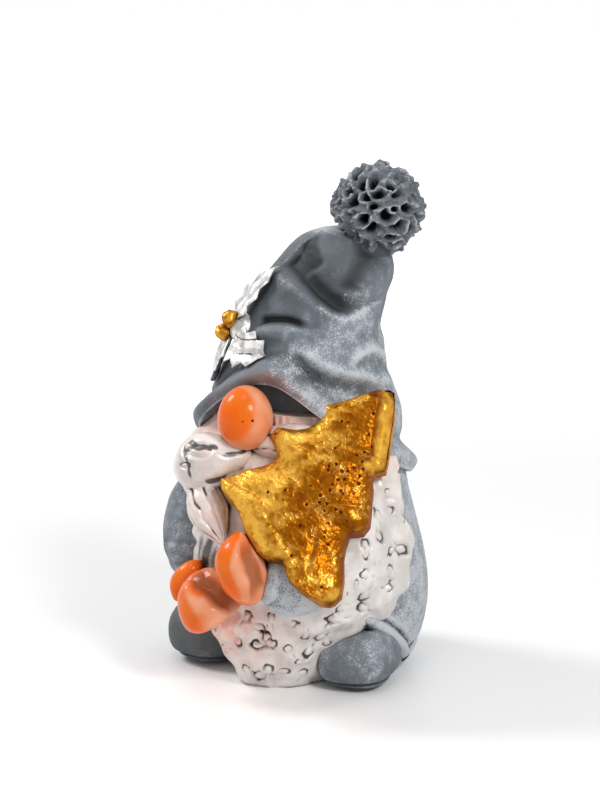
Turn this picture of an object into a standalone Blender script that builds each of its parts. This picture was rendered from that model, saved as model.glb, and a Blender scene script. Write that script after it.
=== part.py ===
"""A cast plaster gnome that holds a fir tree, as one closed solid.

The gnome faces -Y and +Z is up. The origin lies on the flat underside, on the body's axis. Sizes are in
millimetres and are turned to metres when a form is made. An angle around the gnome is in degrees from the
front, growing towards the gnome's own left, which is +X.
"""

import math

import bmesh
import bpy
from mathutils import Matrix, Vector, noise

MM = 0.001

# The one skin around all forms: the cell it is sampled in, and the share of its faces that is kept
SKIN_CELL = 0.5
SKIN_KEEP = 0.0262

# How finely the limbs are made before the skin
LIMB_SEGMENTS = 48
LIMB_RINGS = 36

# Coat
COAT_HALF_WIDTH = 36.5
COAT_HALF_DEPTH = 33.5
COAT_SHIFT_BACK = 4.0
COAT_TOP = 98.0
HEM_BACK_HEIGHT = 3.0
HEM_SLOPE = 0.75
HEM_START_Y = 8.0
HEM_UNDER_SHARE = 0.19
LEG_INSET = 8.5
LEG_TOP = 30.0

# Boots: each one's middle, half width and half length, and how far its toe turns to +X, in degrees
LEFT_BOOT_INSET = 11.5
RIGHT_BOOT_INSET = 13.0
LEFT_BOOT = (COAT_HALF_WIDTH - LEFT_BOOT_INSET, -7.0, 10.8, 13.6, 12.0)
RIGHT_BOOT = (RIGHT_BOOT_INSET - COAT_HALF_WIDTH, -9.0, 12.0, 14.0, -12.0)
BOOT_HEIGHT = 18.5
SOLE_HEIGHT = 2.6
SOLE_GROOVE = 0.9
BOOT_SQUARENESS = 2.9

# Hat
HAT_LEAN_ANGLE = 123.0
HAT_TOP = 129.8
HAT_SHIFT_BACK = 1.5
BRIM_BACK_HEIGHT = 53.0
BRIM_FRONT_RISE = 19.0
BRIM_ARCH_RISE = 16.0
BRIM_ARCH_WIDTH = 50.0
BRIM_ARCH_ANGLE = 8.0
BRIM_LIP = 3.2
BRIM_LIP_HEIGHT = 3.4
BRIM_UNDER_SHARE = 0.12

# Pompon
POMPON_RADIUS = 13.6
POMPON_OFFSET = 22.3
POMPON_RISE = 4.8
POMPON_CUPS = 80
POMPON_CUP_DEPTH = 3.0
POMPON_SEAT_INSET = 4.8
POMPON_SEAT_DROP = 5.3

# Beard
BEARD_TOP = 79.0
BEARD_CURLS = 90
BEARD_CURL_SIZE = 3.4
BEARD_TAIL_HALF = 22.0
BEARD_ROOT = 16.0
BEARD_SQUARENESS = 2.3

# Face
NOSE_HALF_WIDTH = 7.8
NOSE_HALF_HEIGHT = 9.2
NOSE_CENTRE = Vector((0.2, -28.4, 79.0))

# Fir tree: the middle of its foot, and the ways up the tree and across it
TREE_THICKNESS = 9.5
TREE_BACKING = 4.5
TREE_SQUARENESS = 3.2
TREE_FOOT = Vector((17.0, -37.9, 44.5))
TREE_UP = Vector((0.2915, 0.5731, 0.7659))
TREE_ACROSS = Vector((0.8772, 0.1592, -0.4530))
# How far the tree's face swells, and the side that its upper tiers turn to the right
TREE_SWELL = 1.3
TREE_SIDE_WIDTH = 5.2
TREE_SIDE_DROP = 2.2
TREE_SIDE_START = 31.0
TREE_LIP_RISE = 1.3

# Holly sprig
LEAF_HALF_WIDTH = 5.6
LEAF_THICKNESS = 1.8
BERRY_RADIUS = 2.5
SPRIG_ANGLE = -40.0
SPRIG_HEIGHT = 100.5
BERRY_LIFT = 4.6


def smooth(value):
    """0 below 0, 1 above 1, and an even S between them."""
    value = min(1.0, max(0.0, value))
    return value * value * (3.0 - 2.0 * value)


def bump(value):
    """A bell that is 1 at 0 and fades out near 2."""
    return math.exp(-value * value)


def along(stations, place):
    """The value at a place on the smooth curve through the stations, each (place, value)."""
    if place <= stations[0][0]:
        return stations[0][1]
    if place >= stations[-1][0]:
        return stations[-1][1]

    def slope(k):
        low, high = stations[max(k - 1, 0)], stations[min(k + 1, len(stations) - 1)]
        return (high[1] - low[1]) / (high[0] - low[0])

    i = next(k for k in range(len(stations) - 1) if place <= stations[k + 1][0])
    (start, low), (end, high) = stations[i], stations[i + 1]
    span = end - start
    u = (place - start) / span
    bend = slope(i) * u * (1.0 - u) ** 2 - slope(i + 1) * u * u * (1.0 - u)
    return low + (high - low) * smooth(u) + span * bend


def spline(points, value):
    """The point at 0 to 1 on a Catmull-Rom curve through the points."""
    spans = len(points) - 1
    place = min(max(value, 0.0), 1.0) * spans
    i = min(int(place), spans - 1)
    u = place - i
    b, c = points[i], points[i + 1]
    a = points[i - 1] if i else 2 * b - c
    d = points[i + 2] if i + 2 <= spans else 2 * c - b
    even = 2 * b + (c - a) * u
    return 0.5 * (even + (2 * a - 5 * b + 4 * c - d) * u * u + (3 * b - a - 3 * c + d) * u**3)


def bearing(angle):
    """The level way out at an angle from the front, in degrees."""
    turn = math.radians(angle)
    return Vector((math.sin(turn), -math.cos(turn), 0.0))


def wander(point):
    """A repeatable little vector that drifts from place to place."""
    shifts = (Vector((0.0, 0.0, 0.0)), Vector((17.3, 5.1, 9.7)), Vector((-8.9, 21.7, -4.3)))
    return Vector([noise.noise(point + shift) for shift in shifts])


def turn_between(first, second):
    """The signed difference of two angles, within half a turn."""
    return (first - second + 180.0) % 360.0 - 180.0


# Materials


def paint(name, colour, roughness, metallic=0.0):
    material = bpy.data.materials.new(name)
    material.use_nodes = True
    shader = material.node_tree.nodes["Principled BSDF"]
    shader.inputs["Base Color"].default_value = (*colour, 1.0)
    shader.inputs["Roughness"].default_value = roughness
    shader.inputs["Metallic"].default_value = metallic
    material.diffuse_color = (*colour, 1.0)
    return material


# Ways to make a form


def make_object(name, bm, material, collection):
    mesh = bpy.data.meshes.new(name)
    bmesh.ops.recalc_face_normals(bm, faces=bm.faces)
    bmesh.ops.scale(bm, vec=(MM, MM, MM), verts=bm.verts)
    bm.to_mesh(mesh)
    bm.free()
    mesh.materials.append(material)
    mesh.shade_smooth()
    made = bpy.data.objects.new(name, mesh)
    collection.objects.link(made)
    return made


def ball(name, segments, rings, place, material, collection):
    """A closed form from a sphere; place(angle, rise) gives the point, with rise from 0 below to 1 above."""
    bm = bmesh.new()
    bmesh.ops.create_uvsphere(bm, u_segments=segments, v_segments=rings, radius=1.0)
    for vert in bm.verts:
        angle = math.degrees(math.atan2(vert.co.x, -vert.co.y))
        rise = 0.5 + math.asin(max(-1.0, min(1.0, vert.co.z))) / math.pi
        vert.co = place(angle, rise)
    make_object(name, bm, material, collection)


def egg(name, centre, half_sizes, segments, rings, material, collection, squareness=2.0, sculpt=None):
    """An ellipsoid, or a rounder box as squareness grows above 2."""
    bm = bmesh.new()
    bmesh.ops.create_uvsphere(bm, u_segments=segments, v_segments=rings, radius=1.0)
    for vert in bm.verts:
        way = vert.co.normalized()
        reach = sum(abs(part) ** squareness for part in way) ** (-1.0 / squareness)
        point = Vector([part * reach * half for part, half in zip(way, half_sizes)])
        if sculpt:
            point = sculpt(point, way)
        vert.co = centre + point
    make_object(name, bm, material, collection)


def limb(name, route, material, collection, ends=3.0, strands=0, strand_depth=0.0):
    """A tapering limb along a smooth route of (x, y, z, radius).

    ends above 2 makes its ends blunter, and strands are the ribs that run along it.
    """
    points = [Vector(station[:3]) for station in route]
    radii = [station[3] for station in route]
    upright = abs((points[-1] - points[0]).normalized().z) > 0.7
    aside = Vector((0.0, 1.0, 0.0)) if upright else Vector((0.0, 0.0, 1.0))
    bm = bmesh.new()
    bmesh.ops.create_uvsphere(bm, u_segments=LIMB_SEGMENTS, v_segments=LIMB_RINGS, radius=1.0)
    for vert in bm.verts:
        across_1, across_2, level = vert.co
        place = 0.5 + 0.5 * level
        ring = math.hypot(across_1, across_2)
        centre = spline(points, place)
        forward = (spline(points, place + 0.02) - spline(points, place - 0.02)).normalized()
        side = aside.cross(forward).normalized()
        lift = forward.cross(side)
        blunt = max(0.0, 1.0 - abs(level) ** ends) ** (1.0 / ends)
        if ring > 1e-6:
            rib = strand_depth * math.cos(strands * math.atan2(across_2, across_1) + 1.5 * place)
            reach = (spline(radii, place) + rib) * blunt / ring
            vert.co = centre + side * across_1 * reach + lift * across_2 * reach
        else:
            vert.co = centre
    make_object(name, bm, material, collection)


# Coat, legs and boots


def oval_reach(angle, half_width, half_depth):
    turn = math.radians(angle)
    return 1.0 / math.hypot(math.sin(turn) / half_width, math.cos(turn) / half_depth)


COAT_PROFILE = (
    (0.0, 0.83),
    (4.0, 0.865),
    (9.0, 0.93),
    (15.0, 0.972),
    (22.0, 0.995),
    (31.0, 0.98),
    (40.0, 0.925),
    (46.5, 0.878),
    (52.7, 0.835),
    (60.0, 0.79),
    (72.0, 0.67),
    (85.0, 0.60),
    (98.0, 0.48),
)


def coat_reach(angle, height):
    """The coat's distance from its axis."""
    oval = oval_reach(angle, COAT_HALF_WIDTH, COAT_HALF_DEPTH)
    folds = 0.9 * math.sin(math.radians(3.0 * angle + 40.0)) * smooth((40.0 - height) / 40.0)
    behind = smooth((abs(angle) - 95.0) / 40.0)
    return oval * along(COAT_PROFILE, height) + folds * behind


def coat_point(angle, height, reach):
    return Vector((0.0, COAT_SHIFT_BACK, height)) + bearing(angle) * reach


def hem_height(angle):
    """The hem nearly meets the ground at the back and lifts over the boots at the front."""
    y = coat_point(angle, 0.0, oval_reach(angle, COAT_HALF_WIDTH, COAT_HALF_DEPTH)).y
    return HEM_BACK_HEIGHT + HEM_SLOPE * max(0.0, HEM_START_Y - y)


def coat(collection, material):
    """The coat, with a thick rolled rim along its hem."""

    def place(angle, rise):
        hem = hem_height(angle)
        if rise < HEM_UNDER_SHARE:
            under = rise / HEM_UNDER_SHARE
            return coat_point(angle, hem + 0.8 * (1.0 - under), coat_reach(angle, hem) * smooth(under) ** 0.6)
        share = (rise - HEM_UNDER_SHARE) / (1.0 - HEM_UNDER_SHARE)
        height = hem + (COAT_TOP - hem) * (0.4 * share + 0.6 * share * share)
        reach = coat_reach(angle, height) * (1.0 - smooth((share - 0.93) / 0.07)) ** 0.5
        over = height - hem
        reach += 0.5 * bump((over - 2.4) / 2.0) - 0.7 * bump((over - 5.4) / 1.2) - 1.3 * bump(over / 1.2)
        return coat_point(angle, height, max(0.0, reach))

    ball("coat", 96, 90, place, material, collection)


def legs(collection, material):
    """The block of both legs under the coat, which reaches the ground."""

    def place(angle, rise):
        height = LEG_TOP * (1.2 * min(1.0, max(0.0, (rise - 0.15) / 0.7)) - 0.2)
        reach = coat_reach(angle, HEM_START_Y) - LEG_INSET
        return coat_point(angle, height, reach * smooth(rise / 0.15) * smooth((1.0 - rise) / 0.15))

    ball("legs", 64, 24, place, material, collection)


def boot(name, middle, collection, material):
    """A blunt clog-like boot whose sole is marked off by a groove."""
    x, y, half_width, half_length, toe_turn = middle

    def sculpt(point, way):
        height = point.z + BOOT_HEIGHT / 2
        toe = smooth((-point.y - 2.0) / half_length)
        point.z -= 2.0 * toe * smooth(height / BOOT_HEIGHT)
        groove = SOLE_GROOVE * bump((height - SOLE_HEIGHT) / 0.8)
        level = Vector((way.x, way.y, 0.0))
        if level.length > 0.05:
            point -= level.normalized() * groove
        point.rotate(Matrix.Rotation(math.radians(toe_turn), 3, "Z"))
        return point + Vector((0.0, 0.0, BOOT_HEIGHT / 2))

    half = (half_width, half_length, BOOT_HEIGHT / 2)
    egg(name, Vector((x, y, 0.0)), half, 56, 40, material, collection, BOOT_SQUARENESS, sculpt)


# Hat


def brim_height(angle):
    """The brim's lower edge: low behind, and arched up over the nose."""
    front = 0.5 + 0.5 * math.cos(math.radians(angle))
    arch = bump((angle - BRIM_ARCH_ANGLE) / BRIM_ARCH_WIDTH)
    return BRIM_BACK_HEIGHT + BRIM_FRONT_RISE * front + BRIM_ARCH_RISE * arch


# The hat's distance from its axis and the axis's lean: (height from the hat's top, size)
HAT_REACH = (
    (-77.8, 30.5),
    (-67.8, 30.0),
    (-58.8, 29.0),
    (-50.8, 28.0),
    (-41.8, 24.0),
    (-32.8, 21.3),
    (-28.2, 20.0),
    (-22.8, 19.6),
    (-15.8, 18.6),
    (-11.3, 17.3),
    (-7.3, 15.0),
    (-3.2, 10.6),
    (-0.8, 5.0),
    (0.0, 0.0),
)
HAT_AXIS = (
    (-69.8, 0.0),
    (-41.8, 0.4),
    (-32.8, 1.9),
    (-28.2, 2.4),
    (-22.8, 4.0),
    (-15.8, 7.0),
    (-11.3, 8.8),
    (-7.3, 9.8),
    (-0.6, 9.4),
)

# Folds pressed into the hat: the points they run through, each (angle, height from the hat's top), then how
# wide they are above and below that line, and their lift
HAT_FOLDS = (
    (
        (
            (-36.0, -9.6),
            (-28.9, -10.2),
            (-9.3, -11.8),
            (10.1, -14.3),
            (28.6, -17.6),
            (57.4, -21.8),
            (79.2, -20.2),
        ),
        (4.6, 1.3),
        -3.4,
    ),
    (((-9.3, -13.6), (10.1, -16.3), (30.0, -20.0), (57.0, -24.4)), (1.2, 3.0), 1.2),
    (((12.6, -21.8), (35.8, -26.2), (59.8, -28.0), (85.3, -27.0)), (2.8, 2.8), 0.8),
    (((-23.6, -2.4), (-5.8, -5.8), (6.5, -9.0), (14.0, -12.0)), (3.2, 3.6), -2.6),
    (((91.9, -3.2), (64.0, -8.5), (54.0, -13.7), (51.0, -18.0)), (3.8, 3.8), -1.7),
    (((-22.1, -26.3), (-6.8, -25.1), (12.0, -24.8), (30.9, -26.4)), (1.6, 0.9), -2.3),
    (((-22.0, -28.6), (1.0, -27.6), (20.0, -27.8)), (1.4, 2.6), 0.9),
    (
        ((11.1, -32.0), (25.7, -32.8), (41.7, -35.5), (61.2, -38.7), (89.9, -41.9), (118.0, -44.0)),
        (2.1, 2.1),
        1.7,
    ),
    (((20.0, -37.5), (45.0, -41.0), (75.0, -45.5), (112.0, -49.3)), (2.4, 2.0), -1.6),
    (((61.0, -36.0), (84.0, -33.4), (98.0, -35.3), (118.0, -39.3)), (2.0, 2.0), 1.4),
    (((140.0, -32.8), (180.0, -41.8), (235.0, -45.8)), (3.2, 3.2), 1.8),
    (((150.0, -40.8), (190.0, -49.8), (240.0, -53.8)), (3.0, 3.0), -1.6),
    (((190.0, -21.8), (230.0, -30.8), (290.0, -33.8)), (3.0, 3.0), 1.5),
    (((120.0, -18.8), (160.0, -21.8), (200.0, -13.8)), (2.6, 2.6), -2.0),
    (((215.0, -55.8), (255.0, -49.8), (300.0, -37.8)), (3.4, 3.4), 1.2),
    (((250.0, -26.0), (275.0, -24.0), (300.0, -27.0)), (2.0, 2.0), -1.6),
)


def fold_lift(folds, angle, height, reach):
    """How far the folds near this place push the surface out."""
    drop = height - HAT_TOP
    lift = 0.0
    for line, (wide_above, wide_below), tall in folds:
        nearest = 1e9
        width = wide_below
        for (a0, h0), (a1, h1) in zip(line, line[1:]):
            start = Vector((math.radians(turn_between(a0, angle)) * reach, h0 - drop))
            span = Vector((math.radians(a1 - a0) * reach, h1 - h0))
            share = min(1.0, max(0.0, -start.dot(span) / span.length_squared))
            offset = start + span * share
            if offset.length < nearest:
                nearest = offset.length
                width = wide_above if offset.y < 0.0 else wide_below
        lift += tall * bump(nearest / width)
    return lift


def hat_reach(height):
    return along(HAT_REACH, height - HAT_TOP)


def hat_point(angle, height, reach):
    lean = bearing(HAT_LEAN_ANGLE) * along(HAT_AXIS, height - HAT_TOP)
    return Vector((lean.x, lean.y + HAT_SHIFT_BACK, height)) + bearing(angle) * reach


def hat_crown(collection, material):
    def place(angle, rise):
        edge = brim_height(angle)
        if rise < BRIM_UNDER_SHARE:
            under = rise / BRIM_UNDER_SHARE
            reach = (hat_reach(edge) + BRIM_LIP * 0.3) * under**0.6
            return hat_point(angle, edge + 3.5 * (1.0 - under), reach)
        share = (rise - BRIM_UNDER_SHARE) / (1.0 - BRIM_UNDER_SHARE)
        height = edge + (HAT_TOP - edge) * (0.45 * share * share + 0.55 * share)
        reach = hat_reach(height)
        fade = smooth((HAT_TOP - height) / 6.0)
        reach += fold_lift(HAT_FOLDS, angle, height, max(reach, 6.0)) * fade
        over = height - edge
        reach += BRIM_LIP * bump((over - BRIM_LIP_HEIGHT) / 3.6)
        reach -= 1.2 * bump((over - BRIM_LIP_HEIGHT - 6.5) / 2.6)
        return hat_point(angle, height, max(0.0, reach))

    ball("hat_crown", 128, 110, place, material, collection)


def beside(offset, height):
    """A point by its height and its offset along the hat's lean."""
    return bearing(HAT_LEAN_ANGLE) * offset + Vector((0.0, 0.0, height))


def pompon_cups():
    """Even places on the ball, by the golden angle, each with the way its cup opens."""
    cups = []
    for i in range(POMPON_CUPS):
        z = 1.0 - 2.0 * (i + 0.5) / POMPON_CUPS
        turn = i * math.pi * (3.0 - math.sqrt(5.0))
        way = Vector((math.cos(turn) * math.sqrt(1 - z * z), math.sin(turn) * math.sqrt(1 - z * z), z))
        way = (way + 0.14 * wander(way * 3.1)).normalized()
        opening = Vector((0.0, 0.0, 1.0)) + 0.9 * wander(way * 5.3)
        opening = (opening - way * opening.dot(way)).normalized()
        cups.append((way, opening))
    return cups


def pompon_reach(way, cups):
    """A scalloped ball: each cup has a raised rim, a hollow towards its opening and a tongue below it."""
    spacing = math.sqrt(4.0 * math.pi / POMPON_CUPS)
    near = sorted(((way - cup).length, index) for index, (cup, _) in enumerate(cups))[:2]
    (first, index), (second, _) = near
    cup, opening = cups[index]
    rim = bump((second - first) / (0.22 * spacing))
    offset = (way - cup) / spacing
    hollow = bump((offset - opening * 0.16).length / 0.30)
    tongue = bump((offset + opening * 0.22).length / 0.34)
    return 0.90 + 0.10 * rim - POMPON_CUP_DEPTH / POMPON_RADIUS * hollow * (1.0 - rim) + 0.05 * tongue


def pompon(collection, material):
    centre = beside(POMPON_OFFSET, HAT_TOP + POMPON_RISE)
    cups = pompon_cups()
    bm = bmesh.new()
    bmesh.ops.create_icosphere(bm, subdivisions=6, radius=1.0)
    for vert in bm.verts:
        way = vert.co.normalized()
        vert.co = centre + way * POMPON_RADIUS * pompon_reach(way, cups)
    make_object("pompon", bm, material, collection)


def pompon_seat(collection, material):
    """The hat's last bit under the pompon, which the cups sink into."""
    centre = beside(POMPON_OFFSET - POMPON_SEAT_INSET, HAT_TOP - POMPON_SEAT_DROP)
    egg("pompon_seat", centre, (9.0, 8.0, 8.5), 32, 20, material, collection)


# Beard and face

# How far the beard stands out from the coat's half width, on the gnome's left and on its right, and from the
# coat's half depth in front: (height, size)
BEARD_OVER_LEFT = (
    (0.0, -18.5),
    (4.0, -16.5),
    (12.0, -11.0),
    (18.0, -5.0),
    (24.0, 0.0),
    (34.0, 2.5),
    (46.0, 2.5),
    (56.0, 0.0),
    (66.0, -4.5),
    (79.0, -10.5),
)
BEARD_OVER_RIGHT = (
    (0.0, -25.5),
    (5.0, -24.0),
    (14.0, -17.5),
    (24.0, -9.5),
    (34.0, -5.5),
    (50.0, -2.5),
    (62.0, -1.5),
    (79.0, -9.5),
)
BEARD_OVER_FRONT = (
    (0.0, -2.5),
    (5.0, 0.5),
    (15.0, 3.5),
    (30.0, 5.0),
    (45.0, 4.0),
    (60.0, 1.5),
    (67.0, -2.5),
    (73.0, -6.5),
    (79.0, -8.5),
)
# Where the beard ends on the coat: (height, angle from the front)
BEARD_EDGE_LEFT = (
    (0.0, 70.0),
    (14.0, 76.0),
    (22.0, 82.0),
    (27.0, 85.5),
    (31.0, 88.0),
    (35.0, 87.0),
    (40.5, 87.0),
    (43.5, 89.5),
    (49.0, 87.0),
    (55.0, 85.0),
    (60.0, 88.0),
    (79.0, 96.0),
)
BEARD_EDGE_RIGHT = (
    (0.0, 60.0),
    (20.0, 60.0),
    (28.0, 50.0),
    (34.0, 38.0),
    (52.0, 36.0),
    (60.0, 66.0),
    (79.0, 96.0),
)


def beard_curls():
    """Places of the carved curls on the beard: (angle, height), spread evenly."""
    curls = []
    for i in range(BEARD_CURLS):
        angle = -62.0 + 160.0 * ((i * 0.618034) % 1.0)
        height = 3.0 + 64.0 * (i + 0.5) / BEARD_CURLS
        curls.append((angle, height))
    return curls


def curl_lift(curls, angle, height):
    """Each curl is a bead with a hollow under its lower side."""
    lift = 0.0
    for a, h in curls:
        aside = math.radians(angle - a) * COAT_HALF_WIDTH
        over = height - h
        if abs(aside) < 2.5 * BEARD_CURL_SIZE and abs(over) < 2.5 * BEARD_CURL_SIZE:
            lift += 1.0 * bump(math.hypot(aside, over) / BEARD_CURL_SIZE)
            lift -= 1.5 * bump(math.hypot(aside, over + 0.9 * BEARD_CURL_SIZE) / (0.62 * BEARD_CURL_SIZE))
    return lift


def beard_reach(angle, height, curls):
    """The beard's distance from the coat's axis, which falls below the coat's outside the beard's edge."""
    if angle > 0.0:
        half, edge = COAT_HALF_WIDTH + along(BEARD_OVER_LEFT, height), along(BEARD_EDGE_LEFT, height)
    else:
        half, edge = COAT_HALF_WIDTH + along(BEARD_OVER_RIGHT, height), along(BEARD_EDGE_RIGHT, height)
    turn = math.radians(min(abs(angle), 90.0))
    depth = COAT_HALF_DEPTH + along(BEARD_OVER_FRONT, height)
    power = BEARD_SQUARENESS
    oval = ((math.sin(turn) / half) ** power + (math.cos(turn) / depth) ** power) ** (-1.0 / power)
    lift = curl_lift(curls, angle, height) + 1.1 * noise.noise(Vector((angle / 19.0, height / 11.0, 2.0)))
    if half < BEARD_TAIL_HALF:
        return oval + lift
    inside = smooth((edge - abs(angle)) / 9.0)
    return BEARD_ROOT + (oval + lift - BEARD_ROOT) * inside


def beard(collection, material):
    curls = beard_curls()

    def place(angle, rise):
        height = -3.0 + (BEARD_TOP + 3.0) * min(1.0, max(0.0, (rise - 0.05) / 0.87))
        closing = smooth(rise / 0.05) * smooth((1.0 - rise) / 0.08)
        return coat_point(angle, height, beard_reach(angle, height, curls) * closing**0.5)

    ball("beard", 176, 120, place, material, collection)


def moustache(collection, material):
    right = (
        (0.6, -25.8, 69.3, 3.0),
        (-3.5, -29.7, 68.1, 5.2),
        (-11.4, -31.3, 65.3, 8.5),
        (-21.1, -25.6, 59.4, 7.4),
    )
    left = (
        (-1.0, -25.5, 71.0, 3.0),
        (8.0, -23.5, 72.0, 5.0),
        (16.0, -17.5, 71.0, 5.6),
        (25.0, -8.0, 66.0, 4.0),
    )
    limb("moustache_right", right, material, collection, 2.6, 9, 0.5)
    limb("moustache_left", left, material, collection, 2.6, 7, 0.4)


def beard_lock(collection, material):
    """The long lock that runs from the moustache down to the hands."""
    lock = (
        (-15.0, -28.9, 58.0, 4.0),
        (-9.4, -34.6, 54.8, 5.4),
        (-6.1, -36.2, 50.2, 5.0),
        (-1.2, -38.0, 44.3, 2.0),
    )
    limb("beard_lock", lock, material, collection, 2.4, 9, 0.6)


def nose(collection, material):
    def sculpt(point, way):
        share = point.z / NOSE_HALF_HEIGHT
        point.x *= 1.0 - 0.06 * share
        return point

    half = (NOSE_HALF_WIDTH, NOSE_HALF_WIDTH * 1.02, NOSE_HALF_HEIGHT)
    egg("nose", NOSE_CENTRE, half, 40, 28, material, collection, 2.0, sculpt)


# Arms and hands

# The points that each sleeve and hand runs through: (x, y, z, radius)
RIGHT_SLEEVE = (
    (-21.0, -9.0, 62.0, 5.0),
    (-25.0, -15.5, 50.0, 8.0),
    (-24.0, -22.0, 39.0, 8.2),
    (-17.5, -29.5, 32.5, 7.0),
)
RIGHT_HAND = (
    (-13.6, -35.1, 31.5, 6.4),
    (-8.7, -36.6, 28.6, 9.0),
    (-4.6, -37.0, 24.9, 10.4),
    (-2.2, -36.0, 21.5, 9.8),
)
# The edge of the right mitten's cuff
CUFF = (
    (-12.3, -31.9, 36.0, 1.6),
    (-13.8, -35.2, 34.2, 3.0),
    (-16.5, -36.9, 30.0, 3.4),
    (-17.7, -37.7, 25.0, 2.0),
)
LEFT_SLEEVE = (
    (22.2, -16.6, 33.3, 6.0),
    (20.8, -25.8, 35.3, 9.5),
    (16.8, -32.0, 35.3, 10.2),
    (11.0, -36.4, 36.9, 8.8),
)
LEFT_HAND = (
    (9.1, -38.2, 29.2, 5.0),
    (8.8, -42.0, 37.0, 6.9),
    (7.4, -42.9, 43.4, 6.4),
    (6.8, -40.9, 49.7, 3.0),
)


def arms(collection, coat_paint, skin_paint):
    limb("right_sleeve", RIGHT_SLEEVE, coat_paint, collection, 3.5)
    limb("right_hand", RIGHT_HAND, skin_paint, collection, 2.7)
    limb("right_cuff", CUFF, skin_paint, collection, 2.4)
    limb("left_sleeve", LEFT_SLEEVE, coat_paint, collection, 3.5)
    limb("left_hand", LEFT_HAND, skin_paint, collection, 2.7)


# Fir tree

# The tree's outline: (height up the tree, edge on the left of its face, edge on the right)
TREE_OUTLINE = (
    (-5.7, 12.0, 15.0),
    (-5.2, 8.0, 18.0),
    (-4.2, 2.0, 20.0),
    (-3.0, -4.6, 21.0),
    (-0.4, -10.1, 21.6),
    (3.6, -15.3, 19.8),
    (6.3, -23.0, 18.0),
    (8.7, -24.9, 16.4),
    (11.5, -22.4, 15.0),
    (15.0, -20.1, 14.0),
    (17.6, -17.4, 17.0),
    (20.4, -15.4, 17.2),
    (22.8, -15.0, 16.0),
    (26.0, -20.0, 14.2),
    (29.4, -19.8, 12.4),
    (31.9, -14.6, 10.4),
    (33.7, -12.6, 10.6),
    (35.6, -11.4, 12.4),
    (38.2, -10.8, 11.4),
    (41.5, -12.4, 9.8),
    (44.4, -9.4, 8.4),
    (47.6, -6.6, 6.9),
    (51.0, -4.0, 5.2),
    (54.0, -1.6, 3.4),
    (55.6, 0.6, 2.2),
)
# Where a tier ends in a rolled lip, and where it is on the tree's right
TREE_LIPS = ((36.0, 12.0), (19.0, 16.0), (27.0, -16.0), (7.0, -20.0))
# The notch between the lowest tier and the foot: its offset, half width and depth
TREE_NOTCH = (3.4, 2.8, 2.6)


def tree(collection, material):
    """The tree is built in rings from foot to tip; its face has a lip along the right of each tier.

    Its back is deeper by the backing, which grows into the beard and the hat.
    """
    outward = TREE_ACROSS.cross(TREE_UP).normalized()
    rings = len(TREE_OUTLINE) + 1
    power = TREE_SQUARENESS
    bm = bmesh.new()
    bmesh.ops.create_uvsphere(bm, u_segments=40, v_segments=rings, radius=1.0)
    for vert in bm.verts:
        ring = round((0.5 + math.asin(max(-1.0, min(1.0, vert.co.z))) / math.pi) * rings)
        high, left, right = TREE_OUTLINE[min(max(ring - 1, 0), len(TREE_OUTLINE) - 1)]
        turn = math.atan2(vert.co.y, vert.co.x)
        half = (right - left) / 2 if 0 < ring < rings else 0.0
        square = (abs(math.cos(turn)) ** power + abs(math.sin(turn)) ** power) ** (-1.0 / power)
        deep = min(TREE_THICKNESS / 2, 0.9 * half + 0.4 * (half > 0.0))
        across = (left + right) / 2 + math.cos(turn) * square * half
        out = math.sin(turn) * square * deep
        if out < 0.0:
            out -= TREE_BACKING * smooth(2.0 * abs(math.sin(turn)) * square) * smooth(half / 6.0)
        else:
            swell = TREE_SWELL * (1.0 - (math.cos(turn) * square) ** 2) * smooth(half / 5.0)
            side = smooth((across - right + TREE_SIDE_WIDTH) / 2.4) * smooth((high - TREE_SIDE_START) / 5.0)
            out += (swell - TREE_SIDE_DROP * side) * (out > 0.0)
        for lip_high, lip_across in TREE_LIPS:
            lip = bump((high - lip_high) / 2.4) * bump((across - lip_across) / 7.0)
            out += TREE_LIP_RISE * lip * (out > 0.0)
        notch_across, notch_half, notch_depth = TREE_NOTCH
        high += notch_depth * bump((across - notch_across) / notch_half) * smooth((-0.5 - high) / 2.5)
        vert.co = TREE_FOOT + TREE_UP * high + TREE_ACROSS * across + outward * out
    make_object("fir_tree", bm, material, collection)


# Holly sprig

# A holly leaf: (place from stalk to tip, half width), as shares
LEAF_OUTLINE = (
    (0.0, 0.0),
    (0.04, 0.30),
    (0.14, 0.45),
    (0.27, 0.95),
    (0.38, 0.55),
    (0.56, 1.0),
    (0.68, 0.48),
    (0.84, 0.55),
    (0.95, 0.16),
    (1.0, 0.0),
)


def hat_skin(angle, height, lift):
    return hat_point(angle, height, hat_reach(height) + lift)


def leaf(name, angle, height, turn, length, lift, collection, material):
    """A holly leaf that lies on the hat from its stalk, bent to the hat's roundness."""
    rings = len(LEAF_OUTLINE) - 1
    bm = bmesh.new()
    bmesh.ops.create_uvsphere(bm, u_segments=16, v_segments=rings, radius=1.0)
    for vert in bm.verts:
        ring = round((0.5 + math.asin(max(-1.0, min(1.0, vert.co.z))) / math.pi) * rings)
        place, half = LEAF_OUTLINE[ring]
        around = math.atan2(vert.co.y, vert.co.x)
        forward = place * length
        side = math.cos(around) * half * LEAF_HALF_WIDTH
        out = math.sin(around) * LEAF_THICKNESS / 2 * min(1.0, 0.3 + half) * (0 < ring < rings)
        crease = 0.8 * (1.0 - abs(math.cos(around))) + 2.0 * place * place
        step_x = side * math.cos(turn) + forward * math.sin(turn)
        step_z = forward * math.cos(turn) - side * math.sin(turn)
        turn_by = math.degrees(step_x / hat_reach(height))
        vert.co = hat_skin(angle + turn_by, height + step_z, lift + out - crease + 1.6)
    make_object(name, bm, material, collection)


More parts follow.
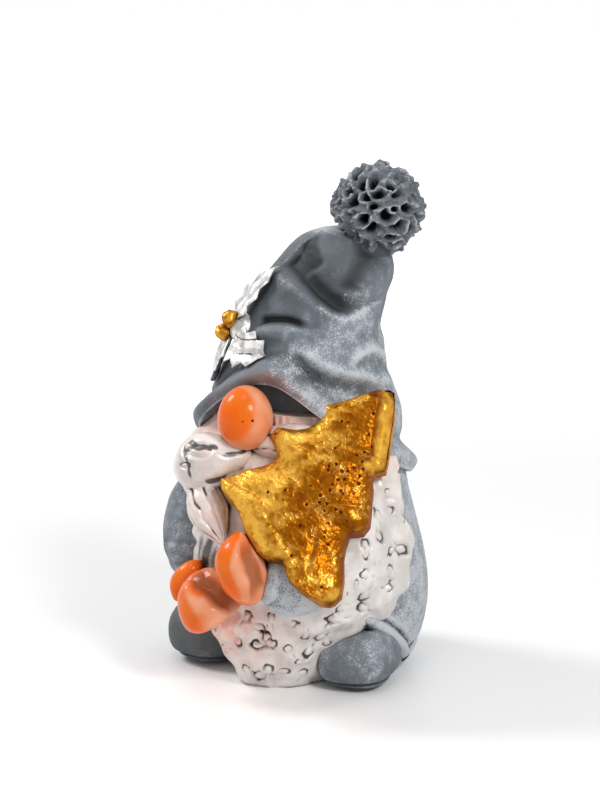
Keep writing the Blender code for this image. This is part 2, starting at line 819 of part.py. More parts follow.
def sprig(collection, leaf_paint, berry_paint):
    leaves = (
        ("leaf_up", -4.0, 3.0, 12.0, 16.0),
        ("leaf_front", 7.0, -2.0, 104.0, 13.0),
        ("leaf_down", -4.0, -2.0, 200.0, 15.0),
    )
    for name, angle, rise, turn, length in leaves:
        turn = math.radians(turn)
        leaf(name, SPRIG_ANGLE + angle, SPRIG_HEIGHT + rise, turn, length, 1.5, collection, leaf_paint)
    seat = hat_skin(SPRIG_ANGLE, SPRIG_HEIGHT, -0.5)
    egg("sprig_seat", seat, (4.2, 4.2, 4.8), 20, 14, leaf_paint, collection)
    for index, (angle, rise) in enumerate(((-2.0, 3.4), (-9.0, -1.0))):
        centre = hat_skin(SPRIG_ANGLE + angle, SPRIG_HEIGHT + rise, BERRY_LIFT)
        egg(f"berry_{index}", centre, (BERRY_RADIUS,) * 3, 20, 14, berry_paint, collection)


# The whole casting


def clear_scene():
    for old in list(bpy.data.objects):
        bpy.data.objects.remove(old, do_unlink=True)


def new_collection(name):
    made = bpy.data.collections.new(name)
    bpy.context.scene.collection.children.link(made)
    return made


def hide_helper(helper):
    helper.hide_render = True
    helper.display_type = "WIRE"


def floor_cutter(collection, material):
    """A block under the ground, which cuts the flat base."""
    bm = bmesh.new()
    bmesh.ops.create_cube(bm, size=1.0)
    bmesh.ops.scale(bm, vec=(200.0, 200.0, 40.0), verts=bm.verts)
    bmesh.ops.translate(bm, vec=(0.0, 0.0, -20.0), verts=bm.verts)
    return make_object("floor_cutter", bm, material, collection)


def cast_in_one(forms, cutter, material, collection):
    """One skin around all forms, cut flat at the ground."""
    bm = bmesh.new()
    for form in forms.objects:
        bm.from_mesh(form.data)
    mesh = bpy.data.meshes.new("gnome_figurine")
    bm.to_mesh(mesh)
    bm.free()
    mesh.materials.append(material)
    body = bpy.data.objects.new("gnome_figurine", mesh)
    collection.objects.link(body)
    skin = body.modifiers.new("one_skin", "REMESH")
    skin.mode = "VOXEL"
    skin.voxel_size = SKIN_CELL * MM
    skin.use_smooth_shade = True
    fewer = body.modifiers.new("fewer_faces", "DECIMATE")
    fewer.ratio = SKIN_KEEP
    flat = body.modifiers.new("flat_base", "BOOLEAN")
    flat.operation = "DIFFERENCE"
    flat.object = cutter
    flat.solver = "EXACT"


def main():
    clear_scene()
    figure = new_collection("gnome_figurine")
    forms = new_collection("forms")
    cutters = new_collection("cutters")

    grey = paint("grey_paint", (0.15, 0.17, 0.19), 0.75)
    white = paint("white_paint", (0.80, 0.78, 0.76), 0.45)
    orange = paint("orange_enamel", (0.86, 0.30, 0.10), 0.25)
    gold = paint("gold_paint", (0.72, 0.40, 0.06), 0.35, 0.8)
    silver = paint("silver_paint", (0.80, 0.79, 0.78), 0.35, 0.3)

    coat(forms, grey)
    legs(forms, grey)
    boot("right_boot", RIGHT_BOOT, forms, grey)
    boot("left_boot", LEFT_BOOT, forms, grey)
    beard(forms, white)
    beard_lock(forms, white)
    moustache(forms, white)
    arms(forms, grey, orange)
    hat_crown(forms, grey)
    pompon(forms, grey)
    pompon_seat(forms, grey)
    nose(forms, orange)
    tree(forms, gold)
    sprig(forms, silver, gold)
    cutter = floor_cutter(cutters, grey)
    for helper in [*forms.objects, cutter]:
        hide_helper(helper)
    cast_in_one(forms, cutter, grey, figure)


main()
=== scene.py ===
"""The looks of a painted plaster gnome: each painted zone of the one casting, modelled finely in place.

The gnome faces -Y and +Z is up. Sizes are in millimetres and turn to metres when a mesh is made. An angle
around the gnome is in degrees from the front, growing towards the gnome's own left, which is +X.
"""

import math

import bmesh
import bpy
import numpy as np
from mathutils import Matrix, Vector, noise

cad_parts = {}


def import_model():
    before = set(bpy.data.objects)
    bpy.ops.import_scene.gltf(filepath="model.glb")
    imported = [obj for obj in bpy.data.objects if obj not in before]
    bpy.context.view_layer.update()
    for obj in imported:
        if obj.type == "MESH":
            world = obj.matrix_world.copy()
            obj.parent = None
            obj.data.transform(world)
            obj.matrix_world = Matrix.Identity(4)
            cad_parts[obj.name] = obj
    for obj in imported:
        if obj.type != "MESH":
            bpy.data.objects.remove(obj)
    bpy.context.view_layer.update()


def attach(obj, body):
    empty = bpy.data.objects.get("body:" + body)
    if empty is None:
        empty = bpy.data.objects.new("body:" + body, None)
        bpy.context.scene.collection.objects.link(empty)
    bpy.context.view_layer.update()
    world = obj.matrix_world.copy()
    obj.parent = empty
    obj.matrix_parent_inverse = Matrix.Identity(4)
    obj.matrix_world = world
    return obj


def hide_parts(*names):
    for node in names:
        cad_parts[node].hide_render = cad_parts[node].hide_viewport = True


MM = 0.001
NODE = "gnome_figurine"
# Steps of this share of a span spread places over it evenly
GOLDEN_SHARE = 0.618034

# Camera: its way round and up from the aim, its distance, and the picture's scale at that distance
CAMERA_AROUND = 33.0
CAMERA_UP = 12.0
CAMERA_DISTANCE = 700.0
CAMERA_AIM = (0.0, 0.0, 79.0)
PICTURE_HEIGHT_PX = 800
PX_PER_MM = 3.45
SENSOR = 36.0

# Coat
COAT_HALF_WIDTH = 36.5
COAT_HALF_DEPTH = 33.5
COAT_SHIFT_BACK = 4.0
COAT_TOP = 98.0
HEM_BACK_HEIGHT = 3.0
HEM_SLOPE = 0.75
HEM_START_Y = 8.0
HEM_UNDER_SHARE = 0.19
# Rolled rim along the hem, and the groove above it: height over the hem, half width, and how far out or in
HEM_ROLL = (2.4, 2.0, 0.5)
HEM_GROOVE = (5.4, 1.0, 0.9)
HEM_EDGE_IN = 1.3
LEG_INSET = 8.5
LEG_TOP = 30.0
# The legs keep the coat's outline at this height, drawn in by the inset
LEG_OUTLINE_HEIGHT = 8.0
COAT_PROFILE = (
    (0.0, 0.83),
    (4.0, 0.865),
    (9.0, 0.93),
    (15.0, 0.972),
    (22.0, 0.995),
    (31.0, 0.98),
    (40.0, 0.925),
    (46.5, 0.878),
    (52.7, 0.835),
    (60.0, 0.79),
    (72.0, 0.67),
    (85.0, 0.60),
    (98.0, 0.48),
)

# Boots: each one's middle, half width and half length, and how far its toe turns to +X, in degrees
LEFT_BOOT = (25.0, -7.0, 10.8, 13.6, 12.0)
RIGHT_BOOT = (-23.5, -9.0, 12.0, 14.0, -12.0)
BOOT_HEIGHT = 18.5
SOLE_HEIGHT = 2.6
SOLE_GROOVE = 0.9
SOLE_GROOVE_HALF = 0.55
SOLE_LEDGE = 0.45
TOE_DROP = 2.0
BOOT_SQUARENESS = 2.9

# Hat
HAT_LEAN_ANGLE = 123.0
HAT_TOP = 129.8
HAT_SHIFT_BACK = 1.5
BRIM_BACK_HEIGHT = 53.0
BRIM_FRONT_RISE = 19.0
BRIM_ARCH_RISE = 16.0
BRIM_ARCH_WIDTH = 50.0
BRIM_ARCH_ANGLE = 8.0
BRIM_LIP = 3.2
BRIM_LIP_HEIGHT = 3.4
BRIM_LIP_HALF = 3.6
BRIM_UNDER_SHARE = 0.12
# The groove above the brim's roll: how far above it, its half width and its depth
BRIM_GROOVE_RISE = 6.5
BRIM_GROOVE_HALF = 2.4
BRIM_GROOVE_DEPTH = 1.3
HAT_REACH = (
    (-77.8, 30.5),
    (-67.8, 30.0),
    (-58.8, 29.0),
    (-50.8, 28.0),
    (-41.8, 24.0),
    (-32.8, 21.3),
    (-28.2, 20.0),
    (-22.8, 19.6),
    (-15.8, 18.6),
    (-11.3, 17.3),
    (-7.3, 15.0),
    (-3.2, 10.6),
    (-0.8, 5.0),
    (0.0, 0.0),
)
HAT_AXIS = (
    (-69.8, 0.0),
    (-41.8, 0.4),
    (-32.8, 1.9),
    (-28.2, 2.4),
    (-22.8, 4.0),
    (-15.8, 7.0),
    (-11.3, 8.8),
    (-7.3, 9.8),
    (-0.6, 9.4),
)
# Folds pressed into the hat: the points they run through, each (angle, height from the hat's top), then how
# wide they are above and below that line, their lift, and how much dark wash and painted shade stand in them
HAT_FOLDS = (
    (
        (
            (-36.0, -9.6),
            (-28.9, -10.2),
            (-9.3, -11.8),
            (10.1, -14.3),
            (28.6, -17.6),
            (57.4, -21.8),
            (79.2, -20.2),
        ),
        (4.6, 1.3),
        -3.4,
        1.0,
    ),
    (((-9.3, -13.6), (10.1, -16.3), (30.0, -20.0), (57.0, -24.4)), (1.2, 3.0), 1.2, 0.0),
    (((12.6, -21.8), (35.8, -26.2), (59.8, -28.0), (85.3, -27.0)), (2.8, 2.8), 0.8, 0.0),
    (((-23.6, -2.4), (-5.8, -5.8), (6.5, -9.0), (14.0, -12.0)), (3.8, 6.0), -1.6, 1.1),
    (((91.9, -3.2), (64.0, -8.5), (54.0, -13.7), (51.0, -18.0)), (5.4, 5.4), -1.7, 0.7),
    (((-22.1, -26.3), (-6.8, -25.1), (12.0, -24.8), (30.9, -26.4)), (1.6, 0.9), -2.3, 1.0),
    (((-22.0, -28.6), (1.0, -27.6), (20.0, -27.8)), (1.4, 2.6), 0.9, 0.0),
    (
        ((11.1, -32.0), (25.7, -32.8), (41.7, -35.5), (61.2, -38.7), (89.9, -41.9), (118.0, -44.0)),
        (2.1, 2.1),
        1.7,
        0.0,
    ),
    (((20.0, -37.5), (45.0, -41.0), (75.0, -45.5), (112.0, -49.3)), (2.4, 2.0), -1.6, 0.3),
    (((61.0, -36.0), (84.0, -33.4), (98.0, -35.3), (118.0, -39.3)), (2.0, 2.0), 1.4, 0.0),
    (((140.0, -32.8), (180.0, -41.8), (235.0, -45.8)), (3.2, 3.2), 1.8, 0.0),
    (((150.0, -40.8), (190.0, -49.8), (240.0, -53.8)), (3.0, 3.0), -1.6, 0.5),
    (((190.0, -21.8), (230.0, -30.8), (290.0, -33.8)), (3.0, 3.0), 1.5, 0.0),
    (((120.0, -18.8), (160.0, -21.8), (200.0, -13.8)), (2.6, 2.6), -2.0, 0.6),
    (((215.0, -55.8), (255.0, -49.8), (300.0, -37.8)), (3.4, 3.4), 1.2, 0.0),
    (((250.0, -26.0), (275.0, -24.0), (300.0, -27.0)), (2.0, 2.0), -1.6, 0.5),
)

# Pompon
POMPON_RADIUS = 13.6
POMPON_OFFSET = 22.3
POMPON_RISE = 4.8
POMPON_SEAT_INSET = 4.8
POMPON_SEAT_DROP = 5.3
POMPON_CUPS = 96
POMPON_CUP_WIDTH = 5.6
POMPON_CUP_TALL = 4.4
POMPON_CUP_DEPTH = 4.6
# The share of the cups that are deep, the step that picks them, and how deep the others are to them
POMPON_DEEP_SHARE = 0.66
POMPON_DEEP_STEP = 0.755
POMPON_SHALLOW = 0.3
POMPON_SEAT_RADII = (9.0, 8.0, 8.5)

# Beard
BEARD_TOP = 79.0
BEARD_BOTTOM = -3.0
BEARD_ROOT = 16.0
BEARD_TAIL_HALF = 22.0
BEARD_SQUARENESS = 2.3
# About how far the beard's surface is from the coat's axis, which turns angles into lengths along it
BEARD_ROUND = 36.0
# The soft curls: how many, the angles and heights between which they lie, their size and how far they rise
BEARD_CURLS = 90
BEARD_CURL_ANGLES = (-62.0, 98.0)
BEARD_CURL_HEIGHTS = (3.0, 67.0)
BEARD_CURL_SIZE = 3.4
BEARD_CURL_RISE = 1.1
BEARD_HALF_LEFT = (
    (0.0, 18.0),
    (4.0, 20.0),
    (12.0, 25.5),
    (18.0, 31.5),
    (24.0, 36.5),
    (34.0, 39.0),
    (46.0, 39.0),
    (56.0, 36.5),
    (66.0, 32.0),
    (79.0, 26.0),
)
BEARD_HALF_RIGHT = (
    (0.0, 11.0),
    (5.0, 12.5),
    (14.0, 19.0),
    (24.0, 27.0),
    (34.0, 31.0),
    (50.0, 34.0),
    (62.0, 35.0),
    (79.0, 27.0),
)
BEARD_DEPTH = (
    (0.0, 31.0),
    (5.0, 34.0),
    (15.0, 37.0),
    (30.0, 38.5),
    (45.0, 37.5),
    (60.0, 35.0),
    (67.0, 31.0),
    (73.0, 27.0),
    (79.0, 25.0),
)
BEARD_EDGE_LEFT = (
    (0.0, 70.0),
    (14.0, 76.0),
    (22.0, 82.0),
    (27.0, 85.5),
    (31.0, 88.0),
    (35.0, 87.0),
    (40.5, 87.0),
    (43.5, 89.5),
    (49.0, 87.0),
    (55.0, 85.0),
    (60.0, 88.0),
    (79.0, 96.0),
)
BEARD_EDGE_RIGHT = (
    (0.0, 60.0),
    (20.0, 60.0),
    (28.0, 50.0),
    (34.0, 38.0),
    (52.0, 36.0),
    (60.0, 66.0),
    (79.0, 96.0),
)
# Carved eyelets in the beard: (angle, height, radius, the way that its deep side faces, depth)
BEARD_PITS = (
    (70.6, 57.9, 1.2, 120.0, 0.4),
    (70.4, 52.9, 1.3, 20.0, 0.7),
    (81.9, 52.6, 1.6, 60.0, 1.2),
    (63.0, 52.5, 1.5, 100.0, 0.5),
    (63.9, 46.2, 1.5, 300.0, 0.9),
    (56.4, 44.9, 1.5, 90.0, 1.4),
    (56.3, 42.0, 1.2, 270.0, 0.7),
    (69.8, 41.7, 1.4, 200.0, 1.0),
    (74.9, 41.5, 1.9, 320.0, 1.4),
    (77.0, 50.0, 1.4, 340.0, 0.8),
    (62.0, 38.7, 0.9, 90.0, 0.4),
    (57.0, 36.1, 1.6, 160.0, 0.7),
    (67.8, 36.5, 1.1, 80.0, 1.0),
    (69.9, 33.6, 1.1, 260.0, 0.9),
    (52.3, 33.9, 1.0, 60.0, 0.4),
    (49.9, 31.4, 1.0, 220.0, 0.4),
    (56.9, 29.7, 1.7, 230.0, 1.0),
    (69.4, 30.6, 1.4, 350.0, 1.2),
    (56.5, 26.1, 1.6, 150.0, 1.4),
    (46.4, 26.9, 1.3, 200.0, 0.8),
    (44.0, 23.7, 2.0, 180.0, 1.3),
    (41.7, 20.8, 1.2, 100.0, 0.4),
    (26.4, 22.4, 1.4, 10.0, 0.5),
    (17.6, 23.6, 1.3, 100.0, 1.0),
    (6.3, 23.2, 1.5, 45.0, 1.2),
    (12.1, 20.5, 1.8, 330.0, 1.1),
    (15.1, 17.4, 1.8, 110.0, 1.6),
    (10.1, 14.5, 1.6, 180.0, 2.4),
    (17.0, 15.6, 1.9, 30.0, 1.1),
    (32.0, 18.4, 1.4, 250.0, 0.8),
    (38.5, 17.5, 1.5, 200.0, 1.0),
    (42.2, 15.5, 1.4, 280.0, 0.9),
    (24.3, 13.9, 1.5, 120.0, 0.9),
    (33.3, 12.2, 1.6, 240.0, 1.3),
    (43.9, 9.7, 1.4, 270.0, 1.0),
    (29.2, 9.2, 1.2, 140.0, 0.7),
    (14.0, 7.0, 1.6, 60.0, 0.8),
    (8.7, 4.4, 2.0, 190.0, 1.5),
    (21.1, 6.1, 1.5, 20.0, 0.7),
    (30.4, 4.9, 1.6, 60.0, 0.7),
    (1.0, 15.1, 1.5, 300.0, 1.0),
    (-9.0, 11.0, 1.6, 200.0, 1.0),
    (-16.0, 17.0, 1.6, 20.0, 1.1),
    (2.0, 6.0, 1.4, 120.0, 0.8),
    (36.0, 46.0, 1.5, 80.0, 0.9),
    (30.0, 60.0, 1.5, 80.0, 0.9),
    (84.0, 62.0, 1.5, 140.0, 0.9),
    (60.0, 65.0, 1.4, 240.0, 0.8),
    (-46.0, 46.0, 1.5, 80.0, 0.9),
    (-50.0, 55.0, 1.5, 240.0, 0.9),
)

# Face
NOSE_HALF_WIDTH = 7.8
NOSE_HALF_HEIGHT = 9.2
NOSE_CENTRE = (0.2, -28.4, 79.0)
# The way from the nose's middle to where its orange is strongest, and how far the orange spreads
NOSE_SPRAY_WAY = (-0.05, -0.93, 0.35)
NOSE_SPRAY_REACH = 1.25

# The points that each limb runs through: (x, y, z, radius)
RIGHT_SLEEVE = (
    (-21.0, -9.0, 62.0, 5.0),
    (-25.0, -15.5, 50.0, 8.0),
    (-24.0, -22.0, 39.0, 8.2),
    (-17.5, -29.5, 32.5, 7.0),
)
RIGHT_HAND = (
    (-13.6, -35.1, 31.5, 6.4),
    (-8.7, -36.6, 28.6, 9.0),
    (-4.6, -37.0, 24.9, 10.4),
    (-2.2, -36.0, 21.5, 9.8),
)
LEFT_SLEEVE = (
    (22.2, -16.6, 33.3, 6.0),
    (20.8, -25.8, 35.3, 9.5),
    (16.8, -32.0, 35.3, 10.2),
    (11.0, -36.4, 36.9, 8.8),
)
LEFT_HAND = (
    (9.1, -38.2, 29.2, 5.0),
    (8.8, -42.0, 37.0, 6.9),
    (7.4, -42.9, 43.4, 6.4),
    (6.8, -40.9, 49.7, 3.0),
)
MOUSTACHE_RIGHT = (
    (0.6, -25.8, 69.3, 3.0),
    (-3.5, -29.7, 68.1, 5.2),
    (-11.4, -31.3, 65.3, 8.5),
    (-21.1, -25.6, 59.4, 7.4),
)
MOUSTACHE_LEFT = (
    (-1.0, -25.5, 71.0, 3.0),
    (8.0, -23.5, 72.0, 5.0),
    (16.0, -17.5, 71.0, 5.6),
    (25.0, -8.0, 66.0, 4.0),
)
BEARD_LOCK = (
    (-15.0, -28.9, 58.0, 4.0),
    (-9.4, -34.6, 54.8, 5.4),
    (-6.1, -36.2, 50.2, 5.0),
    (-1.2, -38.0, 44.3, 2.0),
)

# Grooves right round the right moustache's curled end: places along it
MOUSTACHE_RINGS = (0.66, 0.73, 0.80, 0.87)
# Carved eyelets in the right moustache: (place along it, turn around it in radians, radius)
MOUSTACHE_EYELETS = ((0.56, 0.55, 1.9), (0.66, 0.05, 0.8))
MOUSTACHE_LENGTH = 34.0

# The orange edge of the right mitten's cuff
CUFF = (
    (-12.3, -31.9, 36.0, 1.6),
    (-13.8, -35.2, 34.2, 3.0),
    (-16.5, -36.9, 30.0, 3.4),
    (-17.7, -37.7, 25.0, 2.0),
)
# The hollow facet of each mitten: the turn around it in radians, the place along it, and its depth
RIGHT_FACET = (2.12, 0.50, 2.4)
LEFT_FACET = (-0.40, 0.55, 0.9)
# Casting pinholes in the nose
NOSE_PINHOLES = ((4.2, -35.6, 79.6), (6.2, -33.6, 79.8))
PINHOLE_RADIUS = 0.55

# Fir tree: the middle of its foot, and the ways up the tree and across it
TREE_THICKNESS = 9.5
TREE_BACKING = 4.5
TREE_SQUARENESS = 3.2
TREE_FOOT = (17.0, -37.9, 44.5)
TREE_UP = (0.2915, 0.5731, 0.7659)
TREE_ACROSS = (0.8772, 0.1592, -0.4530)
# The tree's outline: (height up the tree, edge on the left of its face, edge on the right)
TREE_OUTLINE = (
    (-5.7, 12.0, 15.0),
    (-5.2, 8.0, 18.0),
    (-4.2, 2.0, 20.0),
    (-3.0, -4.6, 21.0),
    (-0.4, -10.1, 21.6),
    (3.6, -15.3, 19.8),
    (6.3, -23.0, 18.0),
    (8.7, -24.9, 16.4),
    (11.5, -22.4, 15.0),
    (15.0, -20.1, 14.0),
    (17.6, -17.4, 17.0),
    (20.4, -15.4, 17.2),
    (22.8, -15.0, 16.0),
    (26.0, -20.0, 14.2),
    (29.4, -19.8, 12.4),
    (31.9, -14.6, 10.4),
    (33.7, -12.6, 10.6),
    (35.6, -11.4, 12.4),
    (38.2, -10.8, 11.4),
    (41.5, -12.4, 9.8),
    (44.4, -9.4, 8.4),
    (47.6, -6.6, 6.9),
    (51.0, -4.0, 5.2),
    (54.0, -1.6, 3.4),
    (55.6, 0.6, 2.2),
)
# The notch between the lowest tier and the foot: its offset, half width and depth
TREE_NOTCH = (3.4, 2.8, 2.6)
# The lips along the tiers: height up the tree and offset across it
TREE_LIPS = ((36.0, 12.0), (19.0, 16.0), (27.0, -16.0), (7.0, -20.0))
TREE_LIP_RISE = 1.3
# How far the tree's face swells in its middle
TREE_PILLOW = 1.3
# The side that the tree's top tier turns to the right: its width, where it starts up the tree, over how much
# height it fades in, how wide its edge is, and how far it drops
TREE_SIDE_WIDTH = 5.2
TREE_SIDE_START = 31.0
TREE_SIDE_FADE = 5.0
TREE_SIDE_EDGE = 2.4
TREE_SIDE_DROP = 2.2
TREE_CREASE_DEPTH = 0.55
# Creases pressed in the tree's face: height and offset of the middle, and how far they run up and across
TREE_CREASES = (
    (20.5, 9.0, 5.0, 9.0),
    (14.0, 2.0, 7.0, 3.0),
    (3.5, 0.0, 5.0, -12.0),
    (5.5, 9.0, 9.0, -3.0),
    (36.5, 6.0, 3.0, 9.0),
    (10.0, -15.0, 1.0, 9.0),
    (28.0, -9.0, 3.0, 10.0),
)

# Holly sprig
LEAF_HALF_WIDTH = 5.6
LEAF_THICKNESS = 1.8
LEAF_OUTLINE = (
    (0.0, 0.0),
    (0.03, 0.34),
    (0.12, 0.58),
    (0.22, 0.98),
    (0.34, 0.68),
    (0.53, 1.0),
    (0.64, 0.60),
    (0.80, 0.72),
    (0.90, 0.24),
    (1.0, 0.0),
)
BERRY_RADIUS = 2.5
SPRIG_ANGLE = -40.0
SPRIG_HEIGHT = 100.5
# Each leaf: angle and height from the sprig's middle, the way it points in degrees, and its length
LEAVES = (
    ("leaf_up", -4.0, 3.0, 12.0, 16.0),
    ("leaf_front", 7.0, -2.0, 104.0, 13.0),
    ("leaf_down", -4.0, -2.0, 200.0, 15.0),
)
BERRIES = ((-2.0, 3.4), (-9.0, -1.0))
BERRY_LIFT = 4.6
SPRIG_SEAT_RADII = (4.2, 4.2, 4.8)

# Unevenness left by hand modelling, and the gold's crinkles: the height, size and seed of the lumps
COAT_LUMPS = ((0.16, 7.0, 0.0), (0.05, 1.6, 0.0))
BOOT_LUMPS = ((0.22, 5.0, 0.0), (0.08, 1.3, 0.0))
HAT_LUMPS = ((0.30, 6.0, 0.0), (0.09, 1.7, 0.0))
BEARD_LUMPS = ((1.1, 12.0, 4.0), (0.16, 2.4, 1.0))
SLEEVE_LUMPS = ((0.30, 5.0, 3.0), (0.08, 1.5, 0.0))
MITTEN_LUMPS = ((0.25, 6.0, 2.0), (0.06, 2.0, 0.0))
TREE_LUMPS = ((0.20, 2.6, 1.0), (0.10, 1.1, 2.0), (0.05, 0.6, 3.0))

# Floor and light: how much white the floor adds for the camera near the gnome and far off, how far off each
# is, and how much light the sky gives
FLOOR_HALF = 3000.0
FLOOR_WHITE = (0.01, 0.66)
FLOOR_WHITE_REACH = (180.0, 800.0)
SKY_LIGHT = 0.42
LAMP_DISTANCE = 900.0
# Each lamp: degrees round from the front and up, its size, and its power in watts
LAMPS = (
    ("right_lamp", 66.0, 36.0, 260.0, 4.6),
    ("left_lamp", -78.0, 40.0, 320.0, 4.6),
    ("top_lamp", 20.0, 75.0, 400.0, 1.2),
)


# Curves and small helpers


def smooth(value):
    """0 below 0, 1 above 1, and an even S between them."""
    value = np.clip(value, 0.0, 1.0)
    return value * value * (3.0 - 2.0 * value)


def bump(value):
    """A bell that is 1 at 0 and fades out near 2."""
    return np.exp(-value * value)


def along(stations, place):
    """The values at places on the smooth curve through the stations, each (place, value)."""
    table = np.array(stations)
    spots, values = table[:, 0], table[:, 1]
    last = len(spots) - 1
    place = np.clip(place, spots[0], spots[-1])
    i = np.clip(np.searchsorted(spots, place) - 1, 0, last - 1)
    before, after = np.maximum(np.arange(last + 1) - 1, 0), np.minimum(np.arange(last + 1) + 1, last)
    slope = (values[after] - values[before]) / (spots[after] - spots[before])
    span = spots[i + 1] - spots[i]
    u = (place - spots[i]) / span
    bend = slope[i] * u * (1.0 - u) ** 2 - slope[i + 1] * u * u * (1.0 - u)
    return values[i] + (values[i + 1] - values[i]) * smooth(u) + span * bend


def spline(points, value):
    """The points at 0 to 1 on a Catmull-Rom curve through the points, one row each."""
    points = np.asarray(points, float)
    spans = len(points) - 1
    place = np.clip(value, 0.0, 1.0) * spans
    i = np.minimum(place.astype(int), spans - 1)
    u = (place - i)[:, None]
    ends = np.vstack([2 * points[0] - points[1], points, 2 * points[-1] - points[-2]])
    a, b, c, d = ends[i], ends[i + 1], ends[i + 2], ends[i + 3]
    even = 2 * b + (c - a) * u
    return 0.5 * (even + (2 * a - 5 * b + 4 * c - d) * u * u + (3 * b - a - 3 * c + d) * u**3)


def bearing(angle):
    """The level ways out at angles from the front, in degrees."""
    turn = np.radians(angle)
    return np.stack([np.sin(turn), -np.cos(turn), np.zeros_like(turn)], axis=-1)


def grain(points, size, seed=0.0):
    """A repeatable soft unevenness from about -1 to 1 whose lumps are about that size."""
    shift = Vector((seed * 7.3, seed * 3.1, seed * 5.7))
    return np.array([noise.noise(Vector(point) / size + shift) for point in points])


def lumpy(points, lumps, seed=0.0):
    """The lumps' soft unevenness added up, each (height, size, seed)."""
    return sum(height * grain(points, size, seed + own_seed) for height, size, own_seed in lumps)


def stacked(x, y, z):
    return np.stack([x, y, z], axis=-1)


def upright(height, back):
    """Points at those heights on an upright line that stands so far back."""
    return stacked(np.zeros_like(height), np.full_like(height, back), height)


def unit(vectors):
    """The vectors made one long."""
    length = np.linalg.norm(vectors, axis=-1, keepdims=True)
    return vectors / np.maximum(length, 1e-9)


def linear(code):
    """A material colour from its sRGB hex code."""
    parts = [int(code[i : i + 2], 16) / 255.0 for i in (1, 3, 5)]
    return (*[part / 12.92 if part <= 0.04045 else ((part + 0.055) / 1.055) ** 2.4 for part in parts], 1.0)


# Making a piece


def hollows(mesh, passes):
    """How far each point lies below its smoothed surroundings, in millimetres; hills are negative."""
    count = len(mesh.vertices)
    places = np.empty(count * 3)
    normals = np.empty(count * 3)
    edges = np.empty(len(mesh.edges) * 2, int)
    mesh.vertices.foreach_get("co", places)
    mesh.vertices.foreach_get("normal", normals)
    mesh.edges.foreach_get("vertices", edges)
    places, normals, edges = places.reshape(-1, 3) / MM, normals.reshape(-1, 3), edges.reshape(-1, 2)
    first, second = edges[:, 0], edges[:, 1]
    many = np.bincount(first, minlength=count) + np.bincount(second, minlength=count)
    soft = places.copy()
    for _ in range(passes):
        total = np.empty_like(soft)
        for axis in range(3):
            total[:, axis] = np.bincount(first, soft[second, axis], count)
            total[:, axis] += np.bincount(second, soft[first, axis], count)
        soft = total / many[:, None]
    return np.einsum("ij,ij->i", soft - places, normals)


def add_attribute(mesh, name, values):
    made = mesh.attributes.new(name, "FLOAT", "POINT")
    made.data.foreach_set("value", np.asarray(values, np.float32))


def finish_piece(name, bm, places, material, wash_and_shade=None, passes=24, extra=None):
    """Turns a sculpted bmesh into a piece of the gnome; places are its points in millimetres.

    The dark marks hold the painter's dark wash where the carving is known and painted shade; extra names more
    attributes.
    """
    places[:, 2] = np.maximum(places[:, 2], 0.0)
    for vert, place in zip(bm.verts, places):
        vert.co = Vector(place) * MM
    bmesh.ops.recalc_face_normals(bm, faces=bm.faces)
    mesh = bpy.data.meshes.new(name)
    bm.to_mesh(mesh)
    bm.free()
    mesh.shade_smooth()
    mesh.materials.append(material)
    add_attribute(mesh, "hollow", hollows(mesh, passes))
    if wash_and_shade is not None:
        add_attribute(mesh, "wash_and_shade", wash_and_shade)
    for key, values in (extra or {}).items():
        add_attribute(mesh, key, values)
    piece = bpy.data.objects.new(name, mesh)
    bpy.context.scene.collection.objects.link(piece)
    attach(piece, "root")
    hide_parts(NODE)
    return piece


def sphere(segments, rings):
    """A sphere to sculpt, rolled up from a grid: its bmesh, and each point's way out, angle and rise.

    The angle is in degrees, and the rise goes from 0 below to 1 above.
    """
    bm = bmesh.new()
    bmesh.ops.create_grid(bm, x_segments=segments, y_segments=rings, size=1.0)
    for vert in bm.verts:
        turn, tilt = vert.co.x * math.pi, vert.co.y * math.pi / 2
        vert.co = (math.sin(turn) * math.cos(tilt), -math.cos(turn) * math.cos(tilt), math.sin(tilt))
    seam = [vert for vert in bm.verts if vert.is_boundary]
    bmesh.ops.remove_doubles(bm, verts=seam, dist=1e-6)
    ways = np.array([vert.co for vert in bm.verts])
    angle = np.degrees(np.arctan2(ways[:, 0], -ways[:, 1]))
    rise = 0.5 + np.arcsin(np.clip(ways[:, 2], -1.0, 1.0)) / math.pi
    return bm, ways, angle, rise


# Coat, legs and boots


def oval_reach(angle):
    """How far the coat's widest oval is from its axis."""
    turn = np.radians(angle)
    return 1.0 / np.hypot(np.sin(turn) / COAT_HALF_WIDTH, np.cos(turn) / COAT_HALF_DEPTH)


def coat_reach(angle, height):
    """How far the coat's surface is from its axis, with soft folds behind."""
    folds = 0.9 * np.sin(np.radians(3.0 * angle + 40.0)) * smooth((40.0 - height) / 40.0)
    behind = smooth((np.abs(angle) - 95.0) / 40.0)
    return oval_reach(angle) * along(COAT_PROFILE, height) + folds * behind


def coat_point(angle, height, reach):
    return upright(height, COAT_SHIFT_BACK) + bearing(angle) * reach[:, None]


